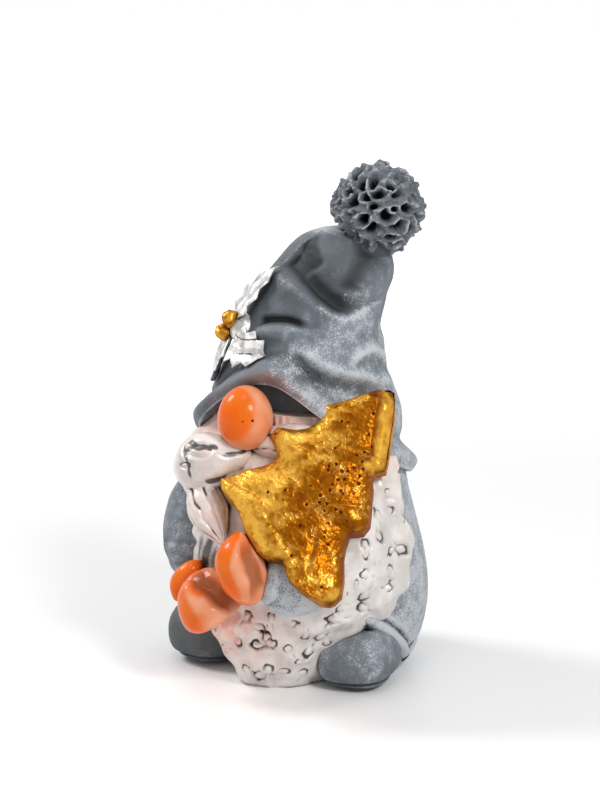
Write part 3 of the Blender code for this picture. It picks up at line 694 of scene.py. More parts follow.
def make_coat(material):
    """The coat, with a thick rolled rim along its hem."""
    bm, _, angle, rise = sphere(240, 200)
    front = (bearing(angle) * oval_reach(angle)[:, None])[:, 1] + COAT_SHIFT_BACK
    hem = HEM_BACK_HEIGHT + HEM_SLOPE * np.maximum(0.0, HEM_START_Y - front)
    under = np.clip(rise / HEM_UNDER_SHARE, 0.0, 1.0)
    low = coat_point(angle, hem + 0.8 * (1.0 - under), coat_reach(angle, hem) * smooth(under) ** 0.6)
    share = np.clip((rise - HEM_UNDER_SHARE) / (1.0 - HEM_UNDER_SHARE), 0.0, 1.0)
    height = hem + (COAT_TOP - hem) * (0.4 * share + 0.6 * share * share)
    reach = coat_reach(angle, height) * (1.0 - smooth((share - 0.93) / 0.07)) ** 0.5
    over = height - hem
    roll_height, roll_half, roll_out = HEM_ROLL
    groove_height, groove_half, groove_in = HEM_GROOVE
    groove = bump((over - groove_height) / groove_half)
    reach += roll_out * bump((over - roll_height) / roll_half) - groove_in * groove
    reach -= HEM_EDGE_IN * bump(over / 1.2)
    high = coat_point(angle, height, np.maximum(reach, 0.0))
    places = np.where((rise < HEM_UNDER_SHARE)[:, None], low, high)
    places += unit(places * (1.0, 1.0, 0.0)) * lumpy(places, COAT_LUMPS)[:, None]
    wash_and_shade = 0.75 * groove * (rise > HEM_UNDER_SHARE)
    brush = 0.25 + 0.45 * smooth((12.0 - over) / 10.0) + 0.7 * smooth((np.abs(angle) - 50.0) / 50.0)
    finish_piece("coat", bm, places, material, wash_and_shade, extra={"brush": brush})


def make_legs(material):
    """The block of both legs under the coat, which reaches the ground."""
    bm, _, angle, rise = sphere(96, 48)
    height = LEG_TOP * (1.2 * np.clip((rise - 0.15) / 0.7, 0.0, 1.0) - 0.2)
    reach = coat_reach(angle, np.full_like(height, LEG_OUTLINE_HEIGHT)) - LEG_INSET
    reach = reach * smooth(rise / 0.15) * smooth((1.0 - rise) / 0.15)
    finish_piece("legs", bm, coat_point(angle, height, reach), material)


def turn_level(points, degrees):
    """The points turned about the upright axis."""
    turn = math.radians(degrees)
    x = points[:, 0] * math.cos(turn) - points[:, 1] * math.sin(turn)
    y = points[:, 0] * math.sin(turn) + points[:, 1] * math.cos(turn)
    return stacked(x, y, points[:, 2])


def make_boot(name, middle, brush_amount, material):
    """A blunt clog-like boot whose sole is marked off by a groove."""
    x, y, half_width, half_length, toe_turn = middle
    bm, ways, angle, rise = sphere(150, 130)
    power = BOOT_SQUARENESS
    reach = (np.abs(ways) ** power).sum(axis=1) ** (-1.0 / power)
    points = ways * reach[:, None] * (half_width, half_length, BOOT_HEIGHT / 2)
    height = points[:, 2] + BOOT_HEIGHT / 2
    toe = smooth((-points[:, 1] - 2.0) / half_length)
    points[:, 2] -= TOE_DROP * toe * smooth(height / BOOT_HEIGHT)
    wobble = 0.35 * np.sin(np.radians(2.0 * angle + 20.0))
    groove = bump((height - SOLE_HEIGHT - wobble) / SOLE_GROOVE_HALF)
    ledge = SOLE_LEDGE * smooth((SOLE_HEIGHT + wobble + 0.3 - height) / 0.4)
    side = np.minimum(1.0, np.hypot(ways[:, 0], ways[:, 1]) * 3.0)
    level = unit(ways * (1.0, 1.0, 0.0))
    points += level * ((ledge - SOLE_GROOVE * groove) * side)[:, None]
    points += level * lumpy(points, BOOT_LUMPS, x)[:, None]
    points = turn_level(points, toe_turn) + (x, y, BOOT_HEIGHT / 2)
    brush = brush_amount * (0.5 + 0.5 * smooth((height - 3.0) / 10.0))
    finish_piece(name, bm, points, material, 0.9 * groove * side, extra={"brush": brush})


# Hat


def brim_height(angle):
    """The brim's lower edge: low behind, and arched up over the nose."""
    front = 0.5 + 0.5 * np.cos(np.radians(angle))
    arch = bump((angle - BRIM_ARCH_ANGLE) / BRIM_ARCH_WIDTH)
    return BRIM_BACK_HEIGHT + BRIM_FRONT_RISE * front + BRIM_ARCH_RISE * arch


def hat_reach(height):
    return along(HAT_REACH, height - HAT_TOP)


def hat_point(angle, height, reach):
    """The points at that reach from the hat's leaning axis."""
    lean = bearing(np.array(HAT_LEAN_ANGLE)) * along(HAT_AXIS, height - HAT_TOP)[:, None]
    return upright(height, HAT_SHIFT_BACK) + lean + bearing(angle) * reach[:, None]


def fold_parts(angle, height, reach):
    """How far the folds push the surface out, and how much dark wash and painted shade stand in them, from 0
    to 1.
    """
    drop = height - HAT_TOP
    lift = np.zeros_like(angle)
    fold_wash_and_shade = np.zeros_like(angle)
    for points, (wide_above, wide_below), tall, wash_and_shade_amount in HAT_FOLDS:
        line = spline(points, np.linspace(0.0, 1.0, 4 * len(points)))
        nearest = np.full_like(angle, 1e9)
        share_there = np.zeros_like(angle)
        width = np.full_like(angle, wide_below)
        for index, ((a0, h0), (a1, h1)) in enumerate(zip(line, line[1:])):
            aside = np.radians((a0 - angle + 180.0) % 360.0 - 180.0) * reach
            upward = h0 - drop
            step_aside, step_up = math.radians(a1 - a0) * reach, h1 - h0
            share = -(aside * step_aside + upward * step_up) / (step_aside**2 + step_up**2)
            share = np.clip(share, 0.0, 1.0)
            far = np.hypot(aside + step_aside * share, upward + step_up * share)
            above = upward + step_up * share < 0.0
            width = np.where(far < nearest, np.where(above, wide_above, wide_below), width)
            share_there = np.where(far < nearest, (index + share) / (len(line) - 1), share_there)
            nearest = np.minimum(nearest, far)
        ends = smooth(share_there / 0.15) * smooth((1.0 - share_there) / 0.25)
        lift += tall * bump(nearest / width) * (0.25 + 0.75 * ends)
        # Painted shade: the dark wash in each fold also stands in for the fold's shade
        fold_wash_and_shade = np.maximum(fold_wash_and_shade, wash_and_shade_amount * bump(nearest / (0.85 * width)) * ends)
    return lift, fold_wash_and_shade


def make_hat(material):
    """The slouched hat: its folds, the brim's roll, and the rusty spray on the brim above the nose."""
    bm, _, angle, rise = sphere(330, 280)
    edge = brim_height(angle)
    under = np.clip(rise / BRIM_UNDER_SHARE, 0.0, 1.0)
    low = hat_point(angle, edge + 3.5 * (1.0 - under), (hat_reach(edge) + BRIM_LIP * 0.3) * under**0.6)
    share = np.clip((rise - BRIM_UNDER_SHARE) / (1.0 - BRIM_UNDER_SHARE), 0.0, 1.0)
    height = edge + (HAT_TOP - edge) * (0.45 * share * share + 0.55 * share)
    reach = hat_reach(height)
    fade = smooth((HAT_TOP - height) / 6.0)
    lift, crease = fold_parts(angle, height, np.maximum(reach, 6.0))
    over = height - edge
    reach = reach + lift * fade + BRIM_LIP * bump((over - BRIM_LIP_HEIGHT) / BRIM_LIP_HALF)
    reach = reach - BRIM_GROOVE_DEPTH * bump((over - BRIM_LIP_HEIGHT - BRIM_GROOVE_RISE) / BRIM_GROOVE_HALF)
    high = hat_point(angle, height, np.maximum(reach, 0.0))
    places = np.where((rise < BRIM_UNDER_SHARE)[:, None], low, high)
    places += bearing(angle) * (lumpy(places, HAT_LUMPS) * fade)[:, None]
    worn = smooth((angle + 10.0) / 50.0) * smooth((112.0 - height) / 16.0)
    brush = 0.25 + 0.75 * np.maximum(worn, 0.8 * smooth((np.abs(angle) - 100.0) / 50.0))
    brush += 0.6 * bump((angle - 75.0) / 22.0) * bump((height - 109.0) / 7.0)
    # Painted shade: the hat's upper front, under the pompon, is darkened
    painted_top_shade = 0.32 * smooth((height - 104.0) / 10.0) * smooth((70.0 - np.abs(angle)) / 30.0)
    in_groove = 0.5 * bump((over - BRIM_LIP_HEIGHT - 5.2) / 1.6) * smooth((70.0 - angle) / 40.0)
    wash_and_shade = np.minimum(1.3 * np.maximum(crease, painted_top_shade), 1.0) + in_groove
    rim = smooth((BRIM_LIP_HEIGHT + 2.5 - over) / 3.5) * bump((angle - 14.0) / 34.0)
    rust = rim * (0.75 + 0.8 * grain(places, 3.0, 5.0))
    extra = {"brush": brush, "rust": rust}
    finish_piece("hat", bm, places, material, np.minimum(wash_and_shade, 1.0), 30, extra)


def beside(offset, height):
    """A point by its height and its offset along the hat's lean."""
    return bearing(np.array(HAT_LEAN_ANGLE)) * offset + (0.0, 0.0, height)


def pompon_cups():
    """Even places on the ball, by the golden angle, each with the way its cup opens and its size."""
    rank = np.arange(POMPON_CUPS)
    z = 1.0 - 2.0 * (rank + 0.5) / POMPON_CUPS
    level = np.sqrt(1 - z * z)
    turn = rank * math.pi * (3.0 - math.sqrt(5.0))
    ways = stacked(np.cos(turn) * level, np.sin(turn) * level, z)
    drift = stacked(grain(ways, 0.30, 1.0), grain(ways, 0.30, 2.0), grain(ways, 0.30, 3.0))
    ways = unit(ways + 0.30 * drift)
    swing = stacked(grain(ways, 0.21, 4.0), grain(ways, 0.21, 5.0), grain(ways, 0.21, 6.0))
    opening = np.array((0.0, 0.0, 1.0)) + 1.5 * swing
    opening = unit(opening - ways * np.einsum("ij,ij->i", opening, ways)[:, None])
    size = 1.0 + 0.65 * grain(ways, 0.17, 7.0)
    return ways, opening, size


def make_pompon(material):
    """A ball of small arched scales, each with a raised rim, a dark hollow under it and a tongue."""
    bm = bmesh.new()
    bmesh.ops.create_icosphere(bm, subdivisions=7, radius=1.0)
    ways = unit(np.array([vert.co for vert in bm.verts]))
    cups, opening, size = pompon_cups()
    across = np.cross(opening, cups)
    offset = ways[:, None, :] - cups[None, :, :]
    side = np.einsum("ijk,jk->ij", offset, across) * POMPON_RADIUS / (POMPON_CUP_WIDTH / 2 * size)
    up = np.einsum("ijk,jk->ij", offset, opening) * POMPON_RADIUS / (POMPON_CUP_TALL / 2 * size)
    behind = np.einsum("ij,kj->ik", ways, cups) < 0.5
    far = side**2 + up**2 + 100.0 * behind
    order = np.argsort(far, axis=1)[:, :2]
    row = np.arange(len(ways))
    first, second = np.sqrt(far[row, order[:, 0]]), np.sqrt(far[row, order[:, 1]])
    a, b = side[row, order[:, 0]], up[row, order[:, 0]]
    border = bump((second - first) / 0.50)
    arch = border * smooth((b + 0.4) / 0.7)
    pocket = smooth((b + 0.85) / 1.15) * bump(a / 0.72) * (1.0 - border)
    tongue = bump(np.hypot(a / 0.6, (b + 0.7) / 0.45))
    picked = np.arange(POMPON_CUPS) * POMPON_DEEP_STEP % 1.0 < POMPON_DEEP_SHARE
    deep = np.where(picked, 1.0, POMPON_SHALLOW)[order[:, 0]]
    pocket = pocket * deep
    dome = bump(np.hypot(a, b) / 0.8) * (1.0 - deep)
    swell = grain(ways, 0.42, 9.0)
    reach = 0.93 + 0.09 * swell + 0.08 * grain(ways, 0.17, 8.0)
    reach += 0.03 * arch + 0.07 * tongue + 0.09 * dome - POMPON_CUP_DEPTH / POMPON_RADIUS * pocket
    reach -= 0.05 * smooth((grain(ways, 0.12, 12.0) - 0.1) * 4.0)
    reach = POMPON_RADIUS * np.minimum(reach, 1.01 + 0.06 * swell)
    places = beside(POMPON_OFFSET, HAT_TOP + POMPON_RISE) + ways * reach[:, None]
    brush = 0.3 + 0.35 * arch
    # Dark wash and painted shade in the deep hollows under the scales
    wash_and_shade = smooth((pocket - 0.25) / 0.25)
    finish_piece("pompon", bm, places, material, wash_and_shade, 8, {"brush": brush})


def make_pompon_seat(material):
    """The hat's last part under the pompon, which the scales sink into."""
    bm, ways, _, _ = sphere(64, 40)
    middle = beside(POMPON_OFFSET - POMPON_SEAT_INSET, HAT_TOP - POMPON_SEAT_DROP)
    places = middle + ways * POMPON_SEAT_RADII
    # Painted shade: the seat under the pompon is darkened all over
    finish_piece("pompon_seat", bm, places, material, np.full(len(places), 0.6), 3)


# Beard


def curl_lift(angle, height):
    """Each curl is a soft bead with a hollow under its lower side."""
    rank = np.arange(BEARD_CURLS)
    at_angle = np.interp((rank * GOLDEN_SHARE) % 1.0, (0.0, 1.0), BEARD_CURL_ANGLES)
    at_height = np.interp((rank + 0.5) / BEARD_CURLS, (0.0, 1.0), BEARD_CURL_HEIGHTS)
    lift = np.zeros_like(angle)
    for a, h in zip(at_angle, at_height):
        aside = np.radians(angle - a) * COAT_HALF_WIDTH
        over = height - h
        lift += BEARD_CURL_RISE * bump(np.hypot(aside, over) / BEARD_CURL_SIZE)
        under = np.hypot(aside, over + 0.9 * BEARD_CURL_SIZE)
        lift -= BEARD_CURL_RISE * bump(under / (0.62 * BEARD_CURL_SIZE))
    return lift


def pit_parts(angle, height, reach):
    """The lift and the dark wash of the carved eyelets, each a bead in a groove that is deeper on one side."""
    lift = np.zeros_like(angle)
    wash_and_shade = np.zeros_like(angle)
    for a, h, radius, faces, depth in BEARD_PITS:
        aside = np.radians(angle - a) * reach
        over = height - h
        near = np.hypot(aside, over) < 3.0 * radius
        aside, over = aside[near], over[near]
        turned = math.radians(faces)
        long_way = aside * math.cos(turned) + over * math.sin(turned)
        short_way = over * math.cos(turned) - aside * math.sin(turned)
        far = np.hypot(long_way, short_way / 0.74)
        far = far * (1.0 + 0.45 * grain(stacked(aside + a, over + h, np.zeros_like(over)), 1.4))
        side = 0.5 + 0.5 * long_way / np.maximum(far, 0.1)
        groove = bump((far - radius) / (0.30 * radius)) * (0.3 + 0.7 * side)
        stroke = bump(short_way / (0.20 * radius)) * bump((long_way + 1.7 * radius) / (0.8 * radius))
        groove = np.maximum(groove, 0.6 * stroke)
        lift[near] += 0.30 * bump(far / (0.7 * radius)) - depth * groove
        wash_and_shade[near] = np.maximum(wash_and_shade[near], 1.15 * groove * smooth(0.45 + depth / 1.4))
    return lift, wash_and_shade


def make_beard(material):
    """The beard from face to ground: soft curls, carved eyelets, painted shadow, painted orange reflection."""
    bm, _, angle, rise = sphere(440, 215)
    turned = (angle + 180.0) / 360.0
    angle = np.interp(turned, (0.0, 0.06, 0.94, 1.0), (-180.0, -65.0, 100.0, 180.0))
    height = BEARD_BOTTOM + (BEARD_TOP - BEARD_BOTTOM) * np.clip((rise - 0.05) / 0.87, 0.0, 1.0)
    left = angle > 0.0
    half = np.where(left, along(BEARD_HALF_LEFT, height), along(BEARD_HALF_RIGHT, height))
    edge = np.where(left, along(BEARD_EDGE_LEFT, height), along(BEARD_EDGE_RIGHT, height))
    depth = along(BEARD_DEPTH, height)
    turn = np.radians(np.minimum(np.abs(angle), 90.0))
    power = BEARD_SQUARENESS
    oval = ((np.sin(turn) / half) ** power + (np.cos(turn) / depth) ** power) ** (-1.0 / power)
    spots = stacked(np.radians(angle) * BEARD_ROUND, height, np.zeros_like(height))
    strand = np.sin(1.9 * spots[:, 0] + 1.6 * np.sin(height / 4.2) + 2.4 * grain(spots, 9.0, 2.0))
    carved, wash_and_shade = pit_parts(angle, height, oval)
    lift = curl_lift(angle, height) + carved + lumpy(spots, BEARD_LUMPS)
    lift += 0.12 * strand * smooth(grain(spots, 8.0, 9.0) * 3.0)
    inside = np.where(half < BEARD_TAIL_HALF, 1.0, smooth((edge - np.abs(angle)) / 8.0))
    reach = BEARD_ROOT + (oval + lift - BEARD_ROOT) * inside
    closing = smooth(rise / 0.05) * smooth((1.0 - rise) / 0.08)
    places = coat_point(angle, height, reach * closing**0.5)
    # Painted shadow: dark in the gap beside the right sleeve
    painted_sleeve_shadow = bump((angle + 15.0) / 7.0) * bump((height - 39.0) / 7.0)
    wash_and_shade = np.maximum(wash_and_shade, painted_sleeve_shadow * (1.0 + 0.3 * strand))
    # Painted reflection of the orange pieces: beside the right mitten and up by the nose
    under_mitten = bump((angle + 12.0) / 30.0) * bump((height - 19.0) / 10.0)
    orange_reflection = np.maximum(under_mitten, bump((height - 74.0) / 8.0))
    finish_piece("beard", bm, places, material, wash_and_shade, 14, {"orange_reflection": orange_reflection})


# Limbs


def limb_parts(route, segments, rings, ends=3.0):
    """A limb's points before carving, the ways out of them, the turn around it and the place along it."""
    bm, ways, _, _ = sphere(segments, rings)
    place = 0.5 + 0.5 * ways[:, 2]
    around = np.arctan2(ways[:, 1], ways[:, 0])
    stations = np.array(route)
    centre = spline(stations[:, :3], place)
    forward = unit(spline(stations[:, :3], place + 0.02) - spline(stations[:, :3], place - 0.02))
    steep = abs(unit(stations[-1, :3] - stations[0, :3])[2]) > 0.7
    side = unit(np.cross((0.0, 1.0, 0.0) if steep else (0.0, 0.0, 1.0), forward))
    lift = np.cross(forward, side)
    blunt = np.maximum(0.0, 1.0 - np.abs(ways[:, 2]) ** ends) ** (1.0 / ends)
    out = side * np.cos(around)[:, None] + lift * np.sin(around)[:, None]
    radius = spline(stations[:, 3:], place)[:, 0] * blunt
    return bm, centre, out, radius, around, place


def make_lock(name, route, ends, strands, depth, twist, material, orange_reflection, rings=(), pits=()):
    """A lock of hair with grooves between its strands, which wind around it.

    rings are places where a groove goes right round, and pits are carved eyelets: (place, turn, radius).
    """
    bm, centre, out, radius, around, place = limb_parts(route, 200, 150, ends)
    phase = strands * around + twist * place + 1.2 * np.sin(7.0 * place)
    phase += 1.4 * grain(centre + 6.0 * out, 5.0, strands)
    groove = (0.5 - 0.5 * np.cos(phase)) ** 6
    for ring in rings:
        wavy = place - ring + 0.02 * np.sin(3.0 * around + 40.0 * ring)
        groove = np.maximum(groove * smooth((rings[0] - place) / 0.08 + 1.0), bump(wavy / 0.013))
    full = smooth(radius / 3.0)
    reach = radius + full * (depth * (0.35 - groove) + 0.10 * grain(centre + 8.0 * out, 1.5))
    wash_and_shade = groove * full * smooth(grain(centre + 7.0 * out, 4.5, 3.0 + strands) * 2.2 + 0.45)
    for at, turn, size in pits:
        aside = ((around - turn + math.pi) % (2 * math.pi) - math.pi) * radius
        far = np.hypot((place - at) * MOUSTACHE_LENGTH * 0.75, aside)
        ring = bump((far - size) / (0.34 * size))
        reach -= 0.7 * ring
        wash_and_shade = np.maximum(wash_and_shade, ring * (0.6 + 0.4 * np.sign(aside)))
    places = centre + out * reach[:, None]
    # The whole lock takes its share of painted orange reflection
    finish_piece(name, bm, places, material, wash_and_shade, 14, {"orange_reflection": np.full(len(places), orange_reflection)})


def make_sleeve(name, route, brush_amount, material):
    """A sleeve with creases across it."""
    bm, centre, out, radius, around, place = limb_parts(route, 150, 120, 3.5)
    points = centre + out * radius[:, None]
    crease = bump((np.sin(9.0 * place + 1.5 * np.cos(around)) - 0.9) / 0.35) * smooth(radius / 4.0)
    reach = radius - 0.55 * crease + lumpy(points, SLEEVE_LUMPS)
    wash_and_shade = 0.7 * crease * smooth(2.0 * grain(points, 8.0, 5.0) + 0.4)
    extra = {"brush": np.full(len(points), brush_amount)}
    finish_piece(name, bm, centre + out * reach[:, None], material, wash_and_shade, extra=extra)


def make_mitten(name, route, facet, material):
    """A mitten whose thumb and palm leave a hollow facet between them."""
    facet_turn, facet_place, facet_depth = facet
    bm, centre, out, radius, around, place = limb_parts(route, 170, 130, 2.7)
    aside = (around - facet_turn + math.pi) % (2 * math.pi) - math.pi
    along_it = place - facet_place
    uneven = 0.35 * grain(centre + out * radius[:, None], 5.0, 4.0)
    aside, along_it = aside / 0.40 + uneven, along_it / 0.26 + uneven
    hollow = bump(np.maximum(np.abs(aside), 0.8 * np.abs(along_it)))
    lip = bump((np.hypot(aside, along_it) - 1.75) / 0.55)
    reach = radius - facet_depth * hollow + 0.25 * lip
    places = centre + out * reach[:, None]
    places += out * lumpy(places, MITTEN_LUMPS)[:, None]
    spray = smooth(1.0 + (centre[:, 0].mean() - places[:, 0]) / radius.max())
    # The facet is darkened in the enamel as painted shade
    extra = {"facet": hollow, "spray": spray * (1.0 - 0.7 * np.clip(lip, 0.0, 1.0))}
    finish_piece(name, bm, places, material, None, 40, extra)


def make_cuff(material):
    """The orange edge of the right mitten, folded back over the sleeve's end."""
    bm, centre, out, radius, _, _ = limb_parts(CUFF, 64, 48, 2.4)
    places = centre + out * radius[:, None]
    extra = {"spray": np.full(len(places), 0.8)}
    finish_piece("right_cuff", bm, places, material, None, 40, extra)


def make_nose(material):
    """An egg, with the orange sprayed on its front."""
    bm, ways, _, _ = sphere(128, 96)
    points = ways * (NOSE_HALF_WIDTH, NOSE_HALF_WIDTH * 1.02, NOSE_HALF_HEIGHT)
    points[:, 0] *= 1.0 - 0.06 * ways[:, 2]
    spray = smooth((NOSE_SPRAY_REACH - np.linalg.norm(ways - NOSE_SPRAY_WAY, axis=1)) / 0.6)
    finish_piece("nose", bm, points + NOSE_CENTRE, material, None, 40, {"spray": spray})


# Fir tree


def make_tree(material):
    """A thick fir with rounded edges, whose face has a lip along the right of each tier."""
    rings = 260
    bm, ways, _, rise = sphere(210, rings)
    table = np.array(TREE_OUTLINE)
    up, across = np.array(TREE_UP), np.array(TREE_ACROSS)
    outward = np.cross(across, up)
    outward /= np.linalg.norm(outward)
    order = np.clip((rise * rings - 1.0) / (rings - 2.0), 0.0, 1.0) * (len(table) - 1)
    high = np.interp(order, np.arange(len(table)), table[:, 0])
    left = np.interp(order, np.arange(len(table)), table[:, 1])
    right = np.interp(order, np.arange(len(table)), table[:, 2])
    tip = np.abs(ways[:, 2]) > 0.99999
    half = np.where(tip, 0.0, (right - left) / 2)
    turn = np.arctan2(ways[:, 1], ways[:, 0])
    power = TREE_SQUARENESS
    square = (np.abs(np.cos(turn)) ** power + np.abs(np.sin(turn)) ** power) ** (-1.0 / power)
    deep = np.minimum(TREE_THICKNESS / 2, 0.9 * half + 0.4 * (half > 0.0))
    aside = (left + right) / 2 + np.cos(turn) * square * half
    out = np.sin(turn) * square * deep
    back = TREE_BACKING * smooth(2.0 * np.abs(np.sin(turn)) * square) * smooth(half / 6.0)
    out = np.where(out < 0.0, out - back, out)
    pillow = TREE_PILLOW * (1.0 - np.abs(np.cos(turn) * square) ** 2) * smooth(half / 5.0) * (out > 0.0)
    side = smooth((aside - right + TREE_SIDE_WIDTH) / TREE_SIDE_EDGE)
    side = side * smooth((high - TREE_SIDE_START) / TREE_SIDE_FADE)
    out += pillow - TREE_SIDE_DROP * side * (out > 0.0)
    for crease_high, crease_aside, long_up, long_across in TREE_CREASES:
        over, by = high - crease_high, aside - crease_aside
        length = math.hypot(long_up, long_across)
        along_it = (over * long_up + by * long_across) / length
        off_it = (by * long_up - over * long_across) / length
        pressed = bump(off_it / 0.7) * bump(along_it / (0.5 * length))
        out -= TREE_CREASE_DEPTH * pressed * (out > 0.0)
    for lip_high, lip_aside in TREE_LIPS:
        lip = bump((high - lip_high) / 2.4) * bump((aside - lip_aside) / 7.0)
        out += TREE_LIP_RISE * lip * (out > 0.0)
    notch_aside, notch_half, notch_depth = TREE_NOTCH
    high = high + notch_depth * bump((aside - notch_aside) / notch_half) * smooth((-0.5 - high) / 2.5)
    places = np.array(TREE_FOOT) + up * high[:, None] + across * aside[:, None] + outward * out[:, None]
    middle = np.array(TREE_FOOT) + up * high[:, None] + across * ((left + right) / 2)[:, None]
    away = unit(places - middle)
    face = smooth(np.sin(turn) * 2.0) * smooth(half / 3.0)
    way_out = outward * face[:, None] + away * (1.0 - face)[:, None]
    places += way_out * (lumpy(places, TREE_LUMPS) * (0.35 + 0.65 * face))[:, None]
    face = np.clip(face - side, 0.0, 1.0)
    # Painted light: the gold is lighter on the tree's left, at its foot and on its top tier's turned side
    painted_light = smooth((3.0 - aside) / 18.0) + 0.5 * smooth((7.0 - high) / 8.0) + 0.8 * side
    strewn = 0.6 * bump((aside - 6.0) / 4.5) * bump((high - 25.0) / 13.0) + 0.03
    extra = {"face": face, "painted_light": np.minimum(painted_light, 1.0), "pinholes": strewn * face}
    finish_piece("fir_tree", bm, places, material, None, 6, extra)


# Holly sprig


def make_leaf(name, angle, rise, turn, length, material):
    """A holly leaf that lies on the hat from its stalk, pleated along its length."""
    bm, ways, _, place = sphere(72, 90)
    table = np.array(LEAF_OUTLINE)
    half = np.interp(place, table[:, 0], table[:, 1])
    around = np.arctan2(ways[:, 1], ways[:, 0])
    forward = place * length
    side = np.cos(around) * half * LEAF_HALF_WIDTH
    upper = np.sin(around) > 0.0
    pleat = np.cos(1.45 * side + 1.1 * np.sin(0.45 * forward + turn) + 1.6 * place)
    line = smooth((-pleat - 0.90) / 0.10) * smooth((0.9 - place) / 0.2)
    flat = stacked(forward, side, np.zeros_like(side))
    out = np.sin(around) * LEAF_THICKNESS / 2 * np.minimum(1.0, 0.3 + half)
    out = out + (0.22 * pleat + 0.25 * grain(flat, 2.2, turn)) * half * upper
    crease = 0.8 * (1.0 - np.abs(np.cos(around))) + 2.0 * place * place
    crease -= 0.9 * np.abs(side) / LEAF_HALF_WIDTH
    turned = math.radians(turn)
    step_x = side * math.cos(turned) + forward * math.sin(turned)
    step_z = forward * math.cos(turned) - side * math.sin(turned)
    height = SPRIG_HEIGHT + rise + step_z
    at_angle = SPRIG_ANGLE + angle + np.degrees(step_x / hat_reach(height))
    places = hat_point(at_angle, height, hat_reach(height) + 1.5 + out - crease + 1.6)
    wash_and_shade = upper * 0.9 * line * smooth(2.0 * grain(flat, 3.0, turn) + 1.1)
    finish_piece(name, bm, places, material, np.minimum(wash_and_shade, 1.0), 10)


def make_sprig(leaf_material, berry_material):
    """The holly on the hat: three leaves, two berries and the lump that they sit on."""
    for name, angle, rise, turn, length in LEAVES:
        make_leaf(name, angle, rise, turn, length, leaf_material)
    bm, ways, _, _ = sphere(48, 32)
    height = np.array([SPRIG_HEIGHT])
    seat = hat_point(np.array([SPRIG_ANGLE]), height, hat_reach(height) - 0.5)
    finish_piece("sprig_seat", bm, seat + ways * SPRIG_SEAT_RADII, leaf_material)
    for index, (angle, rise) in enumerate(BERRIES):
        bm, ways, _, _ = sphere(64, 48)
        height = np.array([SPRIG_HEIGHT + rise])
        centre = hat_point(np.array([SPRIG_ANGLE + angle]), height, hat_reach(height) + BERRY_LIFT)
        places = centre + ways * (BERRY_RADIUS * (1.0 + 0.16 * grain(ways, 0.6, index)))[:, None]
        # The berries take an even share of painted light
        extra = {"face": np.full(len(places), 0.4), "painted_light": np.full(len(places), 0.5)}
        finish_piece(f"berry_{index}", bm, places, berry_material, extra=extra)


# Materials

# The patterns in the paints; the number under 1.0 is the size of a pattern's lumps in millimetres
GREY_CLOUDS = {"Scale": 1.0 / 11.0, "Detail": 3.0, "Roughness": 0.55}
GREY_PATCHES = {"Scale": 1.0 / 4.0, "Detail": 4.0, "Roughness": 0.65}
GREY_GRIT = {"Scale": 1.0 / 0.9, "Detail": 5.0, "Roughness": 0.7}
BRUSH_STREAKS = {"Scale": 1.0 / 0.45, "Detail": 6.0, "Roughness": 0.75}
WHITE_CLOUDS = {"Scale": 1.0 / 7.0, "Detail": 3.0, "Roughness": 0.55}
WHITE_GRIT = {"Scale": 1.0 / 0.6, "Detail": 5.0, "Roughness": 0.7}
WHITE_BRUSHING = {"Scale": 1.0 / 1.2, "Detail": 4.0, "Roughness": 0.55}
ORANGE_REFLECTION_PATCHES = {"Scale": 1.0 / 4.0, "Detail": 3.0, "Roughness": 0.55}
ENAMEL_CLOUDS = {"Scale": 1.0 / 8.0, "Detail": 2.0, "Roughness": 0.55}
ENAMEL_SPRAY = {"Scale": 1.0 / 5.0, "Detail": 2.0, "Roughness": 0.55}
ENAMEL_RUNS = {"Scale": 1.0 / 3.0, "Detail": 2.0, "Roughness": 0.55}
GOLD_CRINKLES = {"Scale": 1.0 / 1.8, "Detail": 1.5, "Roughness": 0.5}
GOLD_WRINKLES = {"Scale": 1.0 / 4.5, "Detail": 2.0, "Roughness": 0.5}
GOLD_PINHOLES = {"Scale": 1.0 / 1.5}
SILVER_CLOUDS = {"Scale": 1.0 / 2.5, "Detail": 4.0, "Roughness": 0.55}
SILVER_GRIT = {"Scale": 1.0 / 0.6, "Detail": 4.0, "Roughness": 0.55}
SILVER_BRUSHING = {"Scale": 1.0 / 0.8, "Detail": 4.0, "Roughness": 0.55}

# Settings of the nodes that take a value smoothly from one span to another, and that lay colour on colour
SOFTLY = {"interpolation_type": "SMOOTHSTEP"}
COLOUR = {"data_type": "RGBA"}


def add_node(tree, kind, inputs=(), output=0, **settings):
    """Adds one node and gives back one of its outputs.

    The inputs are values or other nodes' outputs, in the order of the sockets or by their names or numbers.
    """
    made = tree.nodes.new("ShaderNode" + kind)
    for name, value in settings.items():
        setattr(made, name, value)
    for socket, value in inputs.items() if isinstance(inputs, dict) else enumerate(inputs):
        if isinstance(value, bpy.types.NodeSocket):
            tree.links.new(value, made.inputs[socket])
        else:
            made.inputs[socket].default_value = value
    return made.outputs[output]


def new_material(name, flat_values):
    """An empty Principled material with its flat values: itself, its tree, its shader and the place in mm."""
    material = bpy.data.materials.new(name)
    material.use_nodes = True
    tree = material.node_tree
    shader = tree.nodes["Principled BSDF"]
    for socket, value in flat_values.items():
        shader.inputs[socket].default_value = value
    place = add_node(tree, "TexCoord", (), "Object")
    spot = add_node(tree, "VectorMath", {0: place, "Scale": 1.0 / MM}, operation="SCALE")
    return material, tree, shader, spot


def lay_on(tree, shader, paint, height, relief, strength):
    """Gives the shader its colour and a fine relief, which is so many millimetres high."""
    tree.links.new(paint, shader.inputs["Base Color"])
    normal = add_node(tree, "Bump", {"Height": height, "Distance": relief * MM, "Strength": strength})
    tree.links.new(normal, shader.inputs["Normal"])


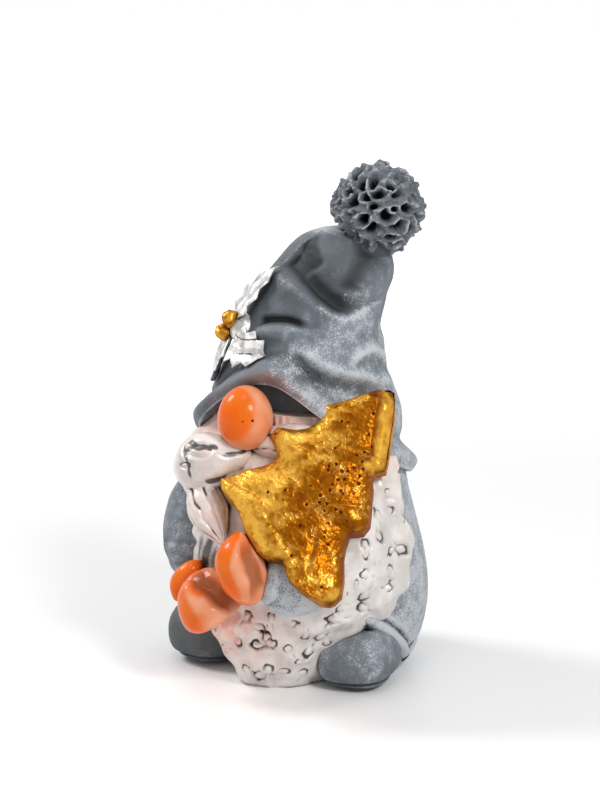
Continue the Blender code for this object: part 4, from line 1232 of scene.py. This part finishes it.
def grey_paint(name, light, dark, wash_and_shade_code, rub_code):
    """Matt acrylic on plaster: chalky blue-grey, black wash and painted shade in creases, white rubbed on the
    hills.
    """
    material, tree, shader, spot = new_material(name, {"Roughness": 0.62, "Specular IOR Level": 0.35})
    hollow = add_node(tree, "Attribute", (), "Fac", attribute_name="hollow")
    wash_and_shade = add_node(tree, "Attribute", (), "Fac", attribute_name="wash_and_shade")
    brush = add_node(tree, "Attribute", (), "Fac", attribute_name="brush")
    rust = add_node(tree, "Attribute", (), "Fac", attribute_name="rust")
    clouds = add_node(tree, "TexNoise", {"Vector": spot, **GREY_CLOUDS})
    patches = add_node(tree, "TexNoise", {"Vector": spot, **GREY_PATCHES})
    grit = add_node(tree, "TexNoise", {"Vector": spot, **GREY_GRIT})
    streaks = add_node(tree, "TexNoise", {"Vector": spot, **BRUSH_STREAKS})

    clouds = add_node(tree, "MapRange", (clouds, 0.32, 0.68), **SOFTLY)
    paint = add_node(tree, "Mix", {0: clouds, 6: linear(light), 7: linear(dark)}, 2, **COLOUR)

    # How much white the dry brush leaves: more on hills, where a piece was brushed more, and in patches
    white = add_node(tree, "Math", (hollow, -0.35), operation="MULTIPLY")
    white = add_node(tree, "Math", (brush, 0.24, white), operation="MULTIPLY_ADD")
    white = add_node(tree, "Math", (patches, 0.36, white), operation="MULTIPLY_ADD")
    dust = add_node(tree, "MapRange", (white, 0.26, 0.50, 0.0, 0.45), **SOFTLY)
    paint = add_node(tree, "Mix", {0: dust, 6: paint, 7: linear("#989fa7")}, 2, **COLOUR)

    # Rusty spray, in patches
    sprayed = add_node(tree, "MapRange", (patches, 0.30, 0.55, 0.0, 0.8), **SOFTLY)
    sprayed = add_node(tree, "Math", (sprayed, rust), operation="MULTIPLY")
    paint = add_node(tree, "Mix", {0: sprayed, 6: paint, 7: linear("#855f55")}, 2, **COLOUR)

    # Dark wash and painted shade in hollows and carved creases, painted shade in corners between two forms
    creased = add_node(tree, "MapRange", (hollow, 0.10, 0.75), **SOFTLY)
    creased = add_node(tree, "Math", (creased, wash_and_shade), operation="MAXIMUM")
    open_air = add_node(tree, "AmbientOcclusion", {"Distance": 3.5 * MM}, "AO", samples=8)
    uneven = add_node(tree, "Math", (grit, 0.5, 0.75), operation="MULTIPLY_ADD")
    corner = add_node(tree, "Math", (uneven, open_air), operation="SUBTRACT")
    corner = add_node(tree, "MapRange", (corner, 0.42, 0.85), **SOFTLY)
    wash_and_shade_mask = add_node(tree, "Math", (creased, corner), operation="MAXIMUM")
    paint = add_node(tree, "Mix", {0: wash_and_shade_mask, 6: paint, 7: linear(wash_and_shade_code)}, 2, **COLOUR)

    # The dry brush's white streaks
    rubbed = add_node(tree, "Math", (streaks, 0.9, white), operation="MULTIPLY_ADD")
    rubbed = add_node(tree, "MapRange", (rubbed, 0.84, 0.98, 0.0, 0.72), **SOFTLY)
    paint = add_node(tree, "Mix", {0: rubbed, 6: paint, 7: linear(rub_code)}, 2, **COLOUR)
    height = add_node(tree, "Math", (grit, streaks), operation="ADD")
    lay_on(tree, shader, paint, height, 0.10, 0.5)
    return material


def white_paint():
    """Satin varnished off-white: brown-black wash in the carving, painted shade and a painted orange
    reflection.
    """
    flat_values = {"Roughness": 0.34, "Coat Weight": 0.35, "Coat Roughness": 0.22}
    material, tree, shader, spot = new_material("varnished_white_paint", flat_values)
    hollow = add_node(tree, "Attribute", (), "Fac", attribute_name="hollow")
    wash_and_shade = add_node(tree, "Attribute", (), "Fac", attribute_name="wash_and_shade")
    orange_reflection = add_node(tree, "Attribute", (), "Fac", attribute_name="orange_reflection")
    clouds = add_node(tree, "TexNoise", {"Vector": spot, **WHITE_CLOUDS})
    patches = add_node(tree, "TexNoise", {"Vector": spot, **ORANGE_REFLECTION_PATCHES})
    grit = add_node(tree, "TexNoise", {"Vector": spot, **WHITE_GRIT})
    brushing = add_node(tree, "TexNoise", {"Vector": spot, **WHITE_BRUSHING})
    uneven = add_node(tree, "Math", (grit, 0.8, -0.4), operation="MULTIPLY_ADD")

    clouds = add_node(tree, "MapRange", (clouds, 0.35, 0.65), **SOFTLY)
    paint = add_node(tree, "Mix", {0: clouds, 6: linear("#dfdad6"), 7: linear("#c8c1bc")}, 2, **COLOUR)

    # Painted reflection of the orange pieces, in patches
    patches = add_node(tree, "MapRange", (patches, 0.3, 0.6, 0.0, 0.75), **SOFTLY)
    orange_reflection = add_node(tree, "Math", (patches, orange_reflection), operation="MULTIPLY")
    paint = add_node(tree, "Mix", {0: orange_reflection, 6: paint, 7: linear("#e9a288")}, 2, **COLOUR)

    # Painted shade in soft hollows, thick wash in the carving, painted shade in corners between two forms
    thin = add_node(tree, "Math", (uneven, 0.2, hollow), operation="MULTIPLY_ADD")
    thin = add_node(tree, "MapRange", (thin, 0.16, 0.5, 0.0, 0.6), **SOFTLY)
    paint = add_node(tree, "Mix", {0: thin, 6: paint, 7: linear("#857d7a")}, 2, **COLOUR)
    # The carving's dark marks also carry the painted shadow beside the right sleeve
    thick = add_node(tree, "Math", (uneven, 0.5, wash_and_shade), operation="MULTIPLY_ADD")
    thick = add_node(tree, "MapRange", (thick, 0.35, 0.85, 0.0, 0.92), **SOFTLY)
    paint = add_node(tree, "Mix", {0: thick, 6: paint, 7: linear("#27211f")}, 2, **COLOUR)
    open_air = add_node(tree, "AmbientOcclusion", {"Distance": 2.2 * MM}, "AO", samples=8)
    corner = add_node(tree, "Math", (uneven, 0.6, 1.0), operation="MULTIPLY_ADD")
    corner = add_node(tree, "Math", (corner, open_air), operation="SUBTRACT")
    corner = add_node(tree, "MapRange", (corner, 0.5, 0.85), **SOFTLY)
    paint = add_node(tree, "Mix", {0: corner, 6: paint, 7: linear("#2f2826")}, 2, **COLOUR)
    lay_on(tree, shader, paint, brushing, 0.12, 0.4)
    return material


def orange_enamel():
    """Thick glossy enamel sprayed over a peach ground: strong orange in the middle, pale at the rims."""
    flat_values = {"Roughness": 0.24, "Specular IOR Level": 0.12, "Coat Weight": 0.16, "Coat Roughness": 0.07}
    material, tree, shader, spot = new_material("orange_enamel", flat_values)
    spray = add_node(tree, "Attribute", (), "Fac", attribute_name="spray")
    facet = add_node(tree, "Attribute", (), "Fac", attribute_name="facet")
    clouds = add_node(tree, "TexNoise", {"Vector": spot, **ENAMEL_CLOUDS})
    mist = add_node(tree, "TexNoise", {"Vector": spot, **ENAMEL_SPRAY})
    runs = add_node(tree, "TexNoise", {"Vector": spot, **ENAMEL_RUNS})

    clouds = add_node(tree, "MapRange", (clouds, 0.35, 0.65), **SOFTLY)
    peach = add_node(tree, "Mix", {0: clouds, 6: linear("#dc8558"), 7: linear("#e09a78")}, 2, **COLOUR)
    orange = add_node(tree, "Mix", {0: clouds, 6: linear("#e35f00"), 7: linear("#dd6a08")}, 2, **COLOUR)
    mist = add_node(tree, "Math", (mist, 0.5, -0.25), operation="MULTIPLY_ADD")
    spray = add_node(tree, "Math", (spray, mist), operation="ADD")
    spray = add_node(tree, "MapRange", (spray, 0.15, 0.85), **SOFTLY)
    paint = add_node(tree, "Mix", {0: spray, 6: peach, 7: orange}, 2, **COLOUR)

    # Painted shade: darker in a mitten's hollow facet, and in the corners between two forms
    facet = add_node(tree, "MapRange", (facet, 0.2, 0.7, 0.0, 0.85), **SOFTLY)
    paint = add_node(tree, "Mix", {0: facet, 6: paint, 7: linear("#93502f")}, 2, **COLOUR)
    open_air = add_node(tree, "AmbientOcclusion", {"Distance": 3.0 * MM}, "AO", samples=8)
    corner = add_node(tree, "MapRange", (open_air, 0.60, 0.15, 0.0, 0.85), **SOFTLY)
    paint = add_node(tree, "Mix", {0: corner, 6: paint, 7: linear("#7a3312")}, 2, **COLOUR)
    for pinhole in NOSE_PINHOLES:
        far = add_node(tree, "VectorMath", (spot, pinhole), "Value", operation="DISTANCE")
        dark = add_node(tree, "MapRange", (far, PINHOLE_RADIUS, PINHOLE_RADIUS * 0.6), **SOFTLY)
        paint = add_node(tree, "Mix", {0: dark, 6: paint, 7: linear("#33120a")}, 2, **COLOUR)
    lay_on(tree, shader, paint, runs, 0.10, 0.35)
    return material


def gold_paint(name, pinholes):
    """Gold leaf paint dried crinkled: painted glints on the little hills, burnt orange and painted shade
    between.
    """
    flat_values = {"Metallic": 0.7, "Roughness": 0.33, "Specular Tint": linear("#d9952a")}
    material, tree, shader, spot = new_material(name, flat_values)
    face = add_node(tree, "Attribute", (), "Fac", attribute_name="face")
    painted_light = add_node(tree, "Attribute", (), "Fac", attribute_name="painted_light")
    hollow = add_node(tree, "Attribute", (), "Fac", attribute_name="hollow")
    crinkle = add_node(tree, "TexNoise", {"Vector": spot, **GOLD_CRINKLES})
    wrinkle = add_node(tree, "TexNoise", {"Vector": spot, **GOLD_WRINKLES})

    # A sharp ridge runs wherever a pattern crosses its middle value
    ridge = add_node(tree, "Math", (crinkle, 0.5), operation="SUBTRACT")
    ridge = add_node(tree, "Math", (ridge,), operation="ABSOLUTE")
    fold = add_node(tree, "Math", (wrinkle, 0.5), operation="SUBTRACT")
    fold = add_node(tree, "Math", (fold,), operation="ABSOLUTE")
    height = add_node(tree, "Math", (fold, -3.0), operation="MULTIPLY")
    height = add_node(tree, "Math", (ridge, -2.2, height), operation="MULTIPLY_ADD")
    height = add_node(tree, "Math", (height, face), operation="MULTIPLY")

    tone = add_node(tree, "Math", (wrinkle, 0.6), operation="MULTIPLY")
    tone = add_node(tree, "Math", (crinkle, 0.45, tone), operation="MULTIPLY_ADD")
    # Painted light lightens the gold where light falls on the tree
    tone = add_node(tree, "Math", (painted_light, 0.30, tone), operation="MULTIPLY_ADD")
    paint = add_node(tree, "ValToRGB", (tone,))
    tones = paint.node.color_ramp.elements
    tones[0].position = 0.36
    tones[0].color = linear("#733905")
    tones[1].position = 0.84
    tones[1].color = linear("#dca53f")
    tones.new(0.58).color = linear("#8f540a")

    # Painted shade in the hollows
    hollow = add_node(tree, "MapRange", (hollow, 0.03, 0.26, 0.0, 0.35), **SOFTLY)
    paint = add_node(tree, "Mix", {0: hollow, 6: paint, 7: linear("#7c3f06")}, 2, **COLOUR)
    # Painted glints along the crests of the raised crinkles
    painted_glint = add_node(tree, "MapRange", (ridge, 0.016, 0.002), **SOFTLY)
    raised = add_node(tree, "MapRange", (wrinkle, 0.50, 0.62, 0.0, 0.55), **SOFTLY)
    painted_glint = add_node(tree, "Math", (painted_glint, raised), operation="MULTIPLY")
    painted_glint = add_node(tree, "Math", (painted_glint, face), operation="MULTIPLY")
    paint = add_node(tree, "Mix", {0: painted_glint, 6: paint, 7: linear("#ffdd88")}, 2, **COLOUR)
    if pinholes:
        share = add_node(tree, "Attribute", (), "Fac", attribute_name="pinholes")
        dots = add_node(tree, "TexVoronoi", {"Vector": spot, **GOLD_PINHOLES}, feature="F1").node.outputs
        pick = add_node(tree, "SeparateColor", (dots["Color"],))
        pick = add_node(tree, "Math", (pick, share), operation="LESS_THAN")
        dark = add_node(tree, "MapRange", (dots["Distance"], 0.40, 0.28), **SOFTLY)
        dark = add_node(tree, "Math", (dark, pick), operation="MULTIPLY")
        paint = add_node(tree, "Mix", {0: dark, 6: paint, 7: linear("#4a1508")}, 2, **COLOUR)
        height = add_node(tree, "Math", (height, dark), operation="SUBTRACT")
    # Painted shade in the corners between two forms
    open_air = add_node(tree, "AmbientOcclusion", {"Distance": 2.0 * MM}, "AO", samples=8)
    corner = add_node(tree, "MapRange", (open_air, 0.5, 0.1), **SOFTLY)
    paint = add_node(tree, "Mix", {0: corner, 6: paint, 7: linear("#3b1c05")}, 2, **COLOUR)
    lay_on(tree, shader, paint, height, 0.7, 0.36)
    return material


def silver_paint():
    """Silver-white paint over dark primer, which shows again along the veins."""
    material, tree, shader, spot = new_material("silver_white_paint", {"Metallic": 0.45, "Roughness": 0.30})
    wash_and_shade = add_node(tree, "Attribute", (), "Fac", attribute_name="wash_and_shade")
    clouds = add_node(tree, "TexNoise", {"Vector": spot, **SILVER_CLOUDS})
    grit = add_node(tree, "TexNoise", {"Vector": spot, **SILVER_GRIT})
    brushing = add_node(tree, "TexNoise", {"Vector": spot, **SILVER_BRUSHING})
    uneven = add_node(tree, "Math", (grit, 0.8, -0.4), operation="MULTIPLY_ADD")

    clouds = add_node(tree, "MapRange", (clouds, 0.35, 0.6), **SOFTLY)
    paint = add_node(tree, "Mix", {0: clouds, 6: linear("#f0efee"), 7: linear("#b3b1b0")}, 2, **COLOUR)
    veins = add_node(tree, "Math", (wash_and_shade, uneven), operation="ADD")
    veins = add_node(tree, "MapRange", (veins, 0.25, 0.7), **SOFTLY)
    # Painted shade in the corners between two forms, together with the dark primer of the veins
    open_air = add_node(tree, "AmbientOcclusion", {"Distance": 1.6 * MM}, "AO", samples=8)
    corner = add_node(tree, "Math", (1.0, open_air), operation="SUBTRACT")
    corner = add_node(tree, "Math", (corner, uneven), operation="ADD")
    corner = add_node(tree, "MapRange", (corner, 0.45, 0.8), **SOFTLY)
    dark = add_node(tree, "Math", (veins, corner), operation="MAXIMUM")
    paint = add_node(tree, "Mix", {0: dark, 6: paint, 7: linear("#2a2827")}, 2, **COLOUR)
    lay_on(tree, shader, paint, brushing, 0.15, 0.6)
    return material


# Floor, light and camera


def make_floor():
    """A white sweep that keeps the shadow; only the camera and gloss see its added white."""
    bm = bmesh.new()
    bmesh.ops.create_grid(bm, x_segments=1, y_segments=1, size=FLOOR_HALF * MM)
    mesh = bpy.data.meshes.new("floor")
    bm.to_mesh(mesh)
    bm.free()
    flat_values = {"Base Color": linear("#f4f4f4"), "Roughness": 0.45, "Emission Color": (1.0, 1.0, 1.0, 1.0)}
    material, tree, shader, spot = new_material("white_floor", flat_values)
    rays = add_node(tree, "LightPath").node.outputs
    seen = add_node(tree, "Math", (rays["Is Camera Ray"], rays["Is Glossy Ray"]), operation="MAXIMUM")
    far = add_node(tree, "VectorMath", (spot,), "Value", operation="LENGTH")
    white = add_node(tree, "MapRange", (far, *FLOOR_WHITE_REACH, *FLOOR_WHITE), **SOFTLY)
    white = add_node(tree, "Math", (seen, white), operation="MULTIPLY")
    tree.links.new(white, shader.inputs["Emission Strength"])
    mesh.materials.append(material)
    floor = bpy.data.objects.new("floor", mesh)
    bpy.context.scene.collection.objects.link(floor)


def make_world():
    """A plain sky that lights the gnome evenly and looks white."""
    world = bpy.data.worlds.new("white_studio")
    bpy.context.scene.world = world
    world.use_nodes = True
    tree = world.node_tree
    rays = add_node(tree, "LightPath").node.outputs
    seen = add_node(tree, "Math", (rays["Is Camera Ray"], rays["Is Glossy Ray"]), operation="MAXIMUM")
    seen = add_node(tree, "Math", (seen, rays["Is Transmission Ray"]), operation="MAXIMUM")
    background = tree.nodes["Background"]
    background.inputs["Color"].default_value = (1.0, 1.0, 1.0, 1.0)
    strength = add_node(tree, "Mix", {0: seen, 2: SKY_LIGHT, 3: 1.0}, data_type="FLOAT")
    tree.links.new(strength, background.inputs["Strength"])


def way_to(around, up):
    """The way from the aim to a point that is so many degrees round from the front and up."""
    around, up = math.radians(around), math.radians(up)
    return Vector((math.sin(around) * math.cos(up), -math.cos(around) * math.cos(up), math.sin(up)))


def aim_at_gnome(item, way, distance):
    item.location = (Vector(CAMERA_AIM) + way * distance) * MM
    item.rotation_mode = "QUATERNION"
    item.rotation_quaternion = (-way).to_track_quat("-Z", "Y")


def make_lamp(name, around, up, size, watts):
    lamp = bpy.data.lights.new(name, "AREA")
    lamp.shape = "DISK"
    lamp.size = size * MM
    lamp.energy = watts
    item = bpy.data.objects.new(name, lamp)
    bpy.context.scene.collection.objects.link(item)
    aim_at_gnome(item, way_to(around, up), LAMP_DISTANCE)


def make_camera():
    camera = bpy.data.cameras.new("camera")
    camera.sensor_fit = "VERTICAL"
    camera.sensor_height = SENSOR
    camera.lens = PX_PER_MM * CAMERA_DISTANCE / PICTURE_HEIGHT_PX * SENSOR
    camera.clip_start = 0.01
    item = bpy.data.objects.new("camera", camera)
    bpy.context.scene.collection.objects.link(item)
    aim_at_gnome(item, way_to(CAMERA_AROUND, CAMERA_UP), CAMERA_DISTANCE)
    bpy.context.scene.camera = item


def main():
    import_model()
    bpy.context.scene.view_settings.view_transform = "Standard"

    grey = grey_paint("chalky_grey_paint", "#6c737b", "#595f66", "#17191b", "#c9cdd2")
    # Painted shade: the pompon's grey has a near-black wash that darkens its hollows and seat
    dark_grey = grey_paint("dark_grey_paint", "#696e76", "#55595f", "#060708", "#b4b8be")
    # Painted shade: a darker copy of the grey paint for the right boot, which stands in shade
    shaded_boot_grey = grey_paint("shaded_boot_paint", "#55595c", "#4a4d50", "#1a1c1e", "#9a9fa4")
    white = white_paint()
    orange = orange_enamel()
    gold = gold_paint("crinkled_gold_paint", True)
    berry_gold = gold_paint("berry_gold_paint", False)
    silver = silver_paint()

    make_coat(grey)
    make_legs(grey)
    make_boot("left_boot", LEFT_BOOT, 0.6, grey)
    # The right boot gets painted shade: the darker copy of the grey and no dry brush
    make_boot("right_boot", RIGHT_BOOT, 0.0, shaded_boot_grey)
    make_hat(grey)
    make_pompon(dark_grey)
    make_pompon_seat(dark_grey)
    make_beard(white)
    carving = (MOUSTACHE_RINGS, MOUSTACHE_EYELETS)
    # The number after the paint is each lock's share of painted orange reflection
    make_lock("moustache_right", MOUSTACHE_RIGHT, 2.6, 4, 0.5, 1.5, white, 0.15, *carving)
    make_lock("moustache_left", MOUSTACHE_LEFT, 2.6, 6, 0.4, 1.0, white, 0.6)
    make_lock("beard_lock", BEARD_LOCK, 2.4, 8, 0.8, 3.0, white, 0.25)
    make_sleeve("right_sleeve", RIGHT_SLEEVE, 1.0, grey)
    make_sleeve("left_sleeve", LEFT_SLEEVE, 1.15, grey)
    make_mitten("right_mitten", RIGHT_HAND, RIGHT_FACET, orange)
    make_mitten("left_mitten", LEFT_HAND, LEFT_FACET, orange)
    make_cuff(orange)
    make_nose(orange)
    make_tree(gold)
    make_sprig(silver, berry_gold)

    make_floor()
    make_world()
    for name, around, up, size, watts in LAMPS:
        make_lamp(name, around, up, size, watts)
    make_camera()


main()
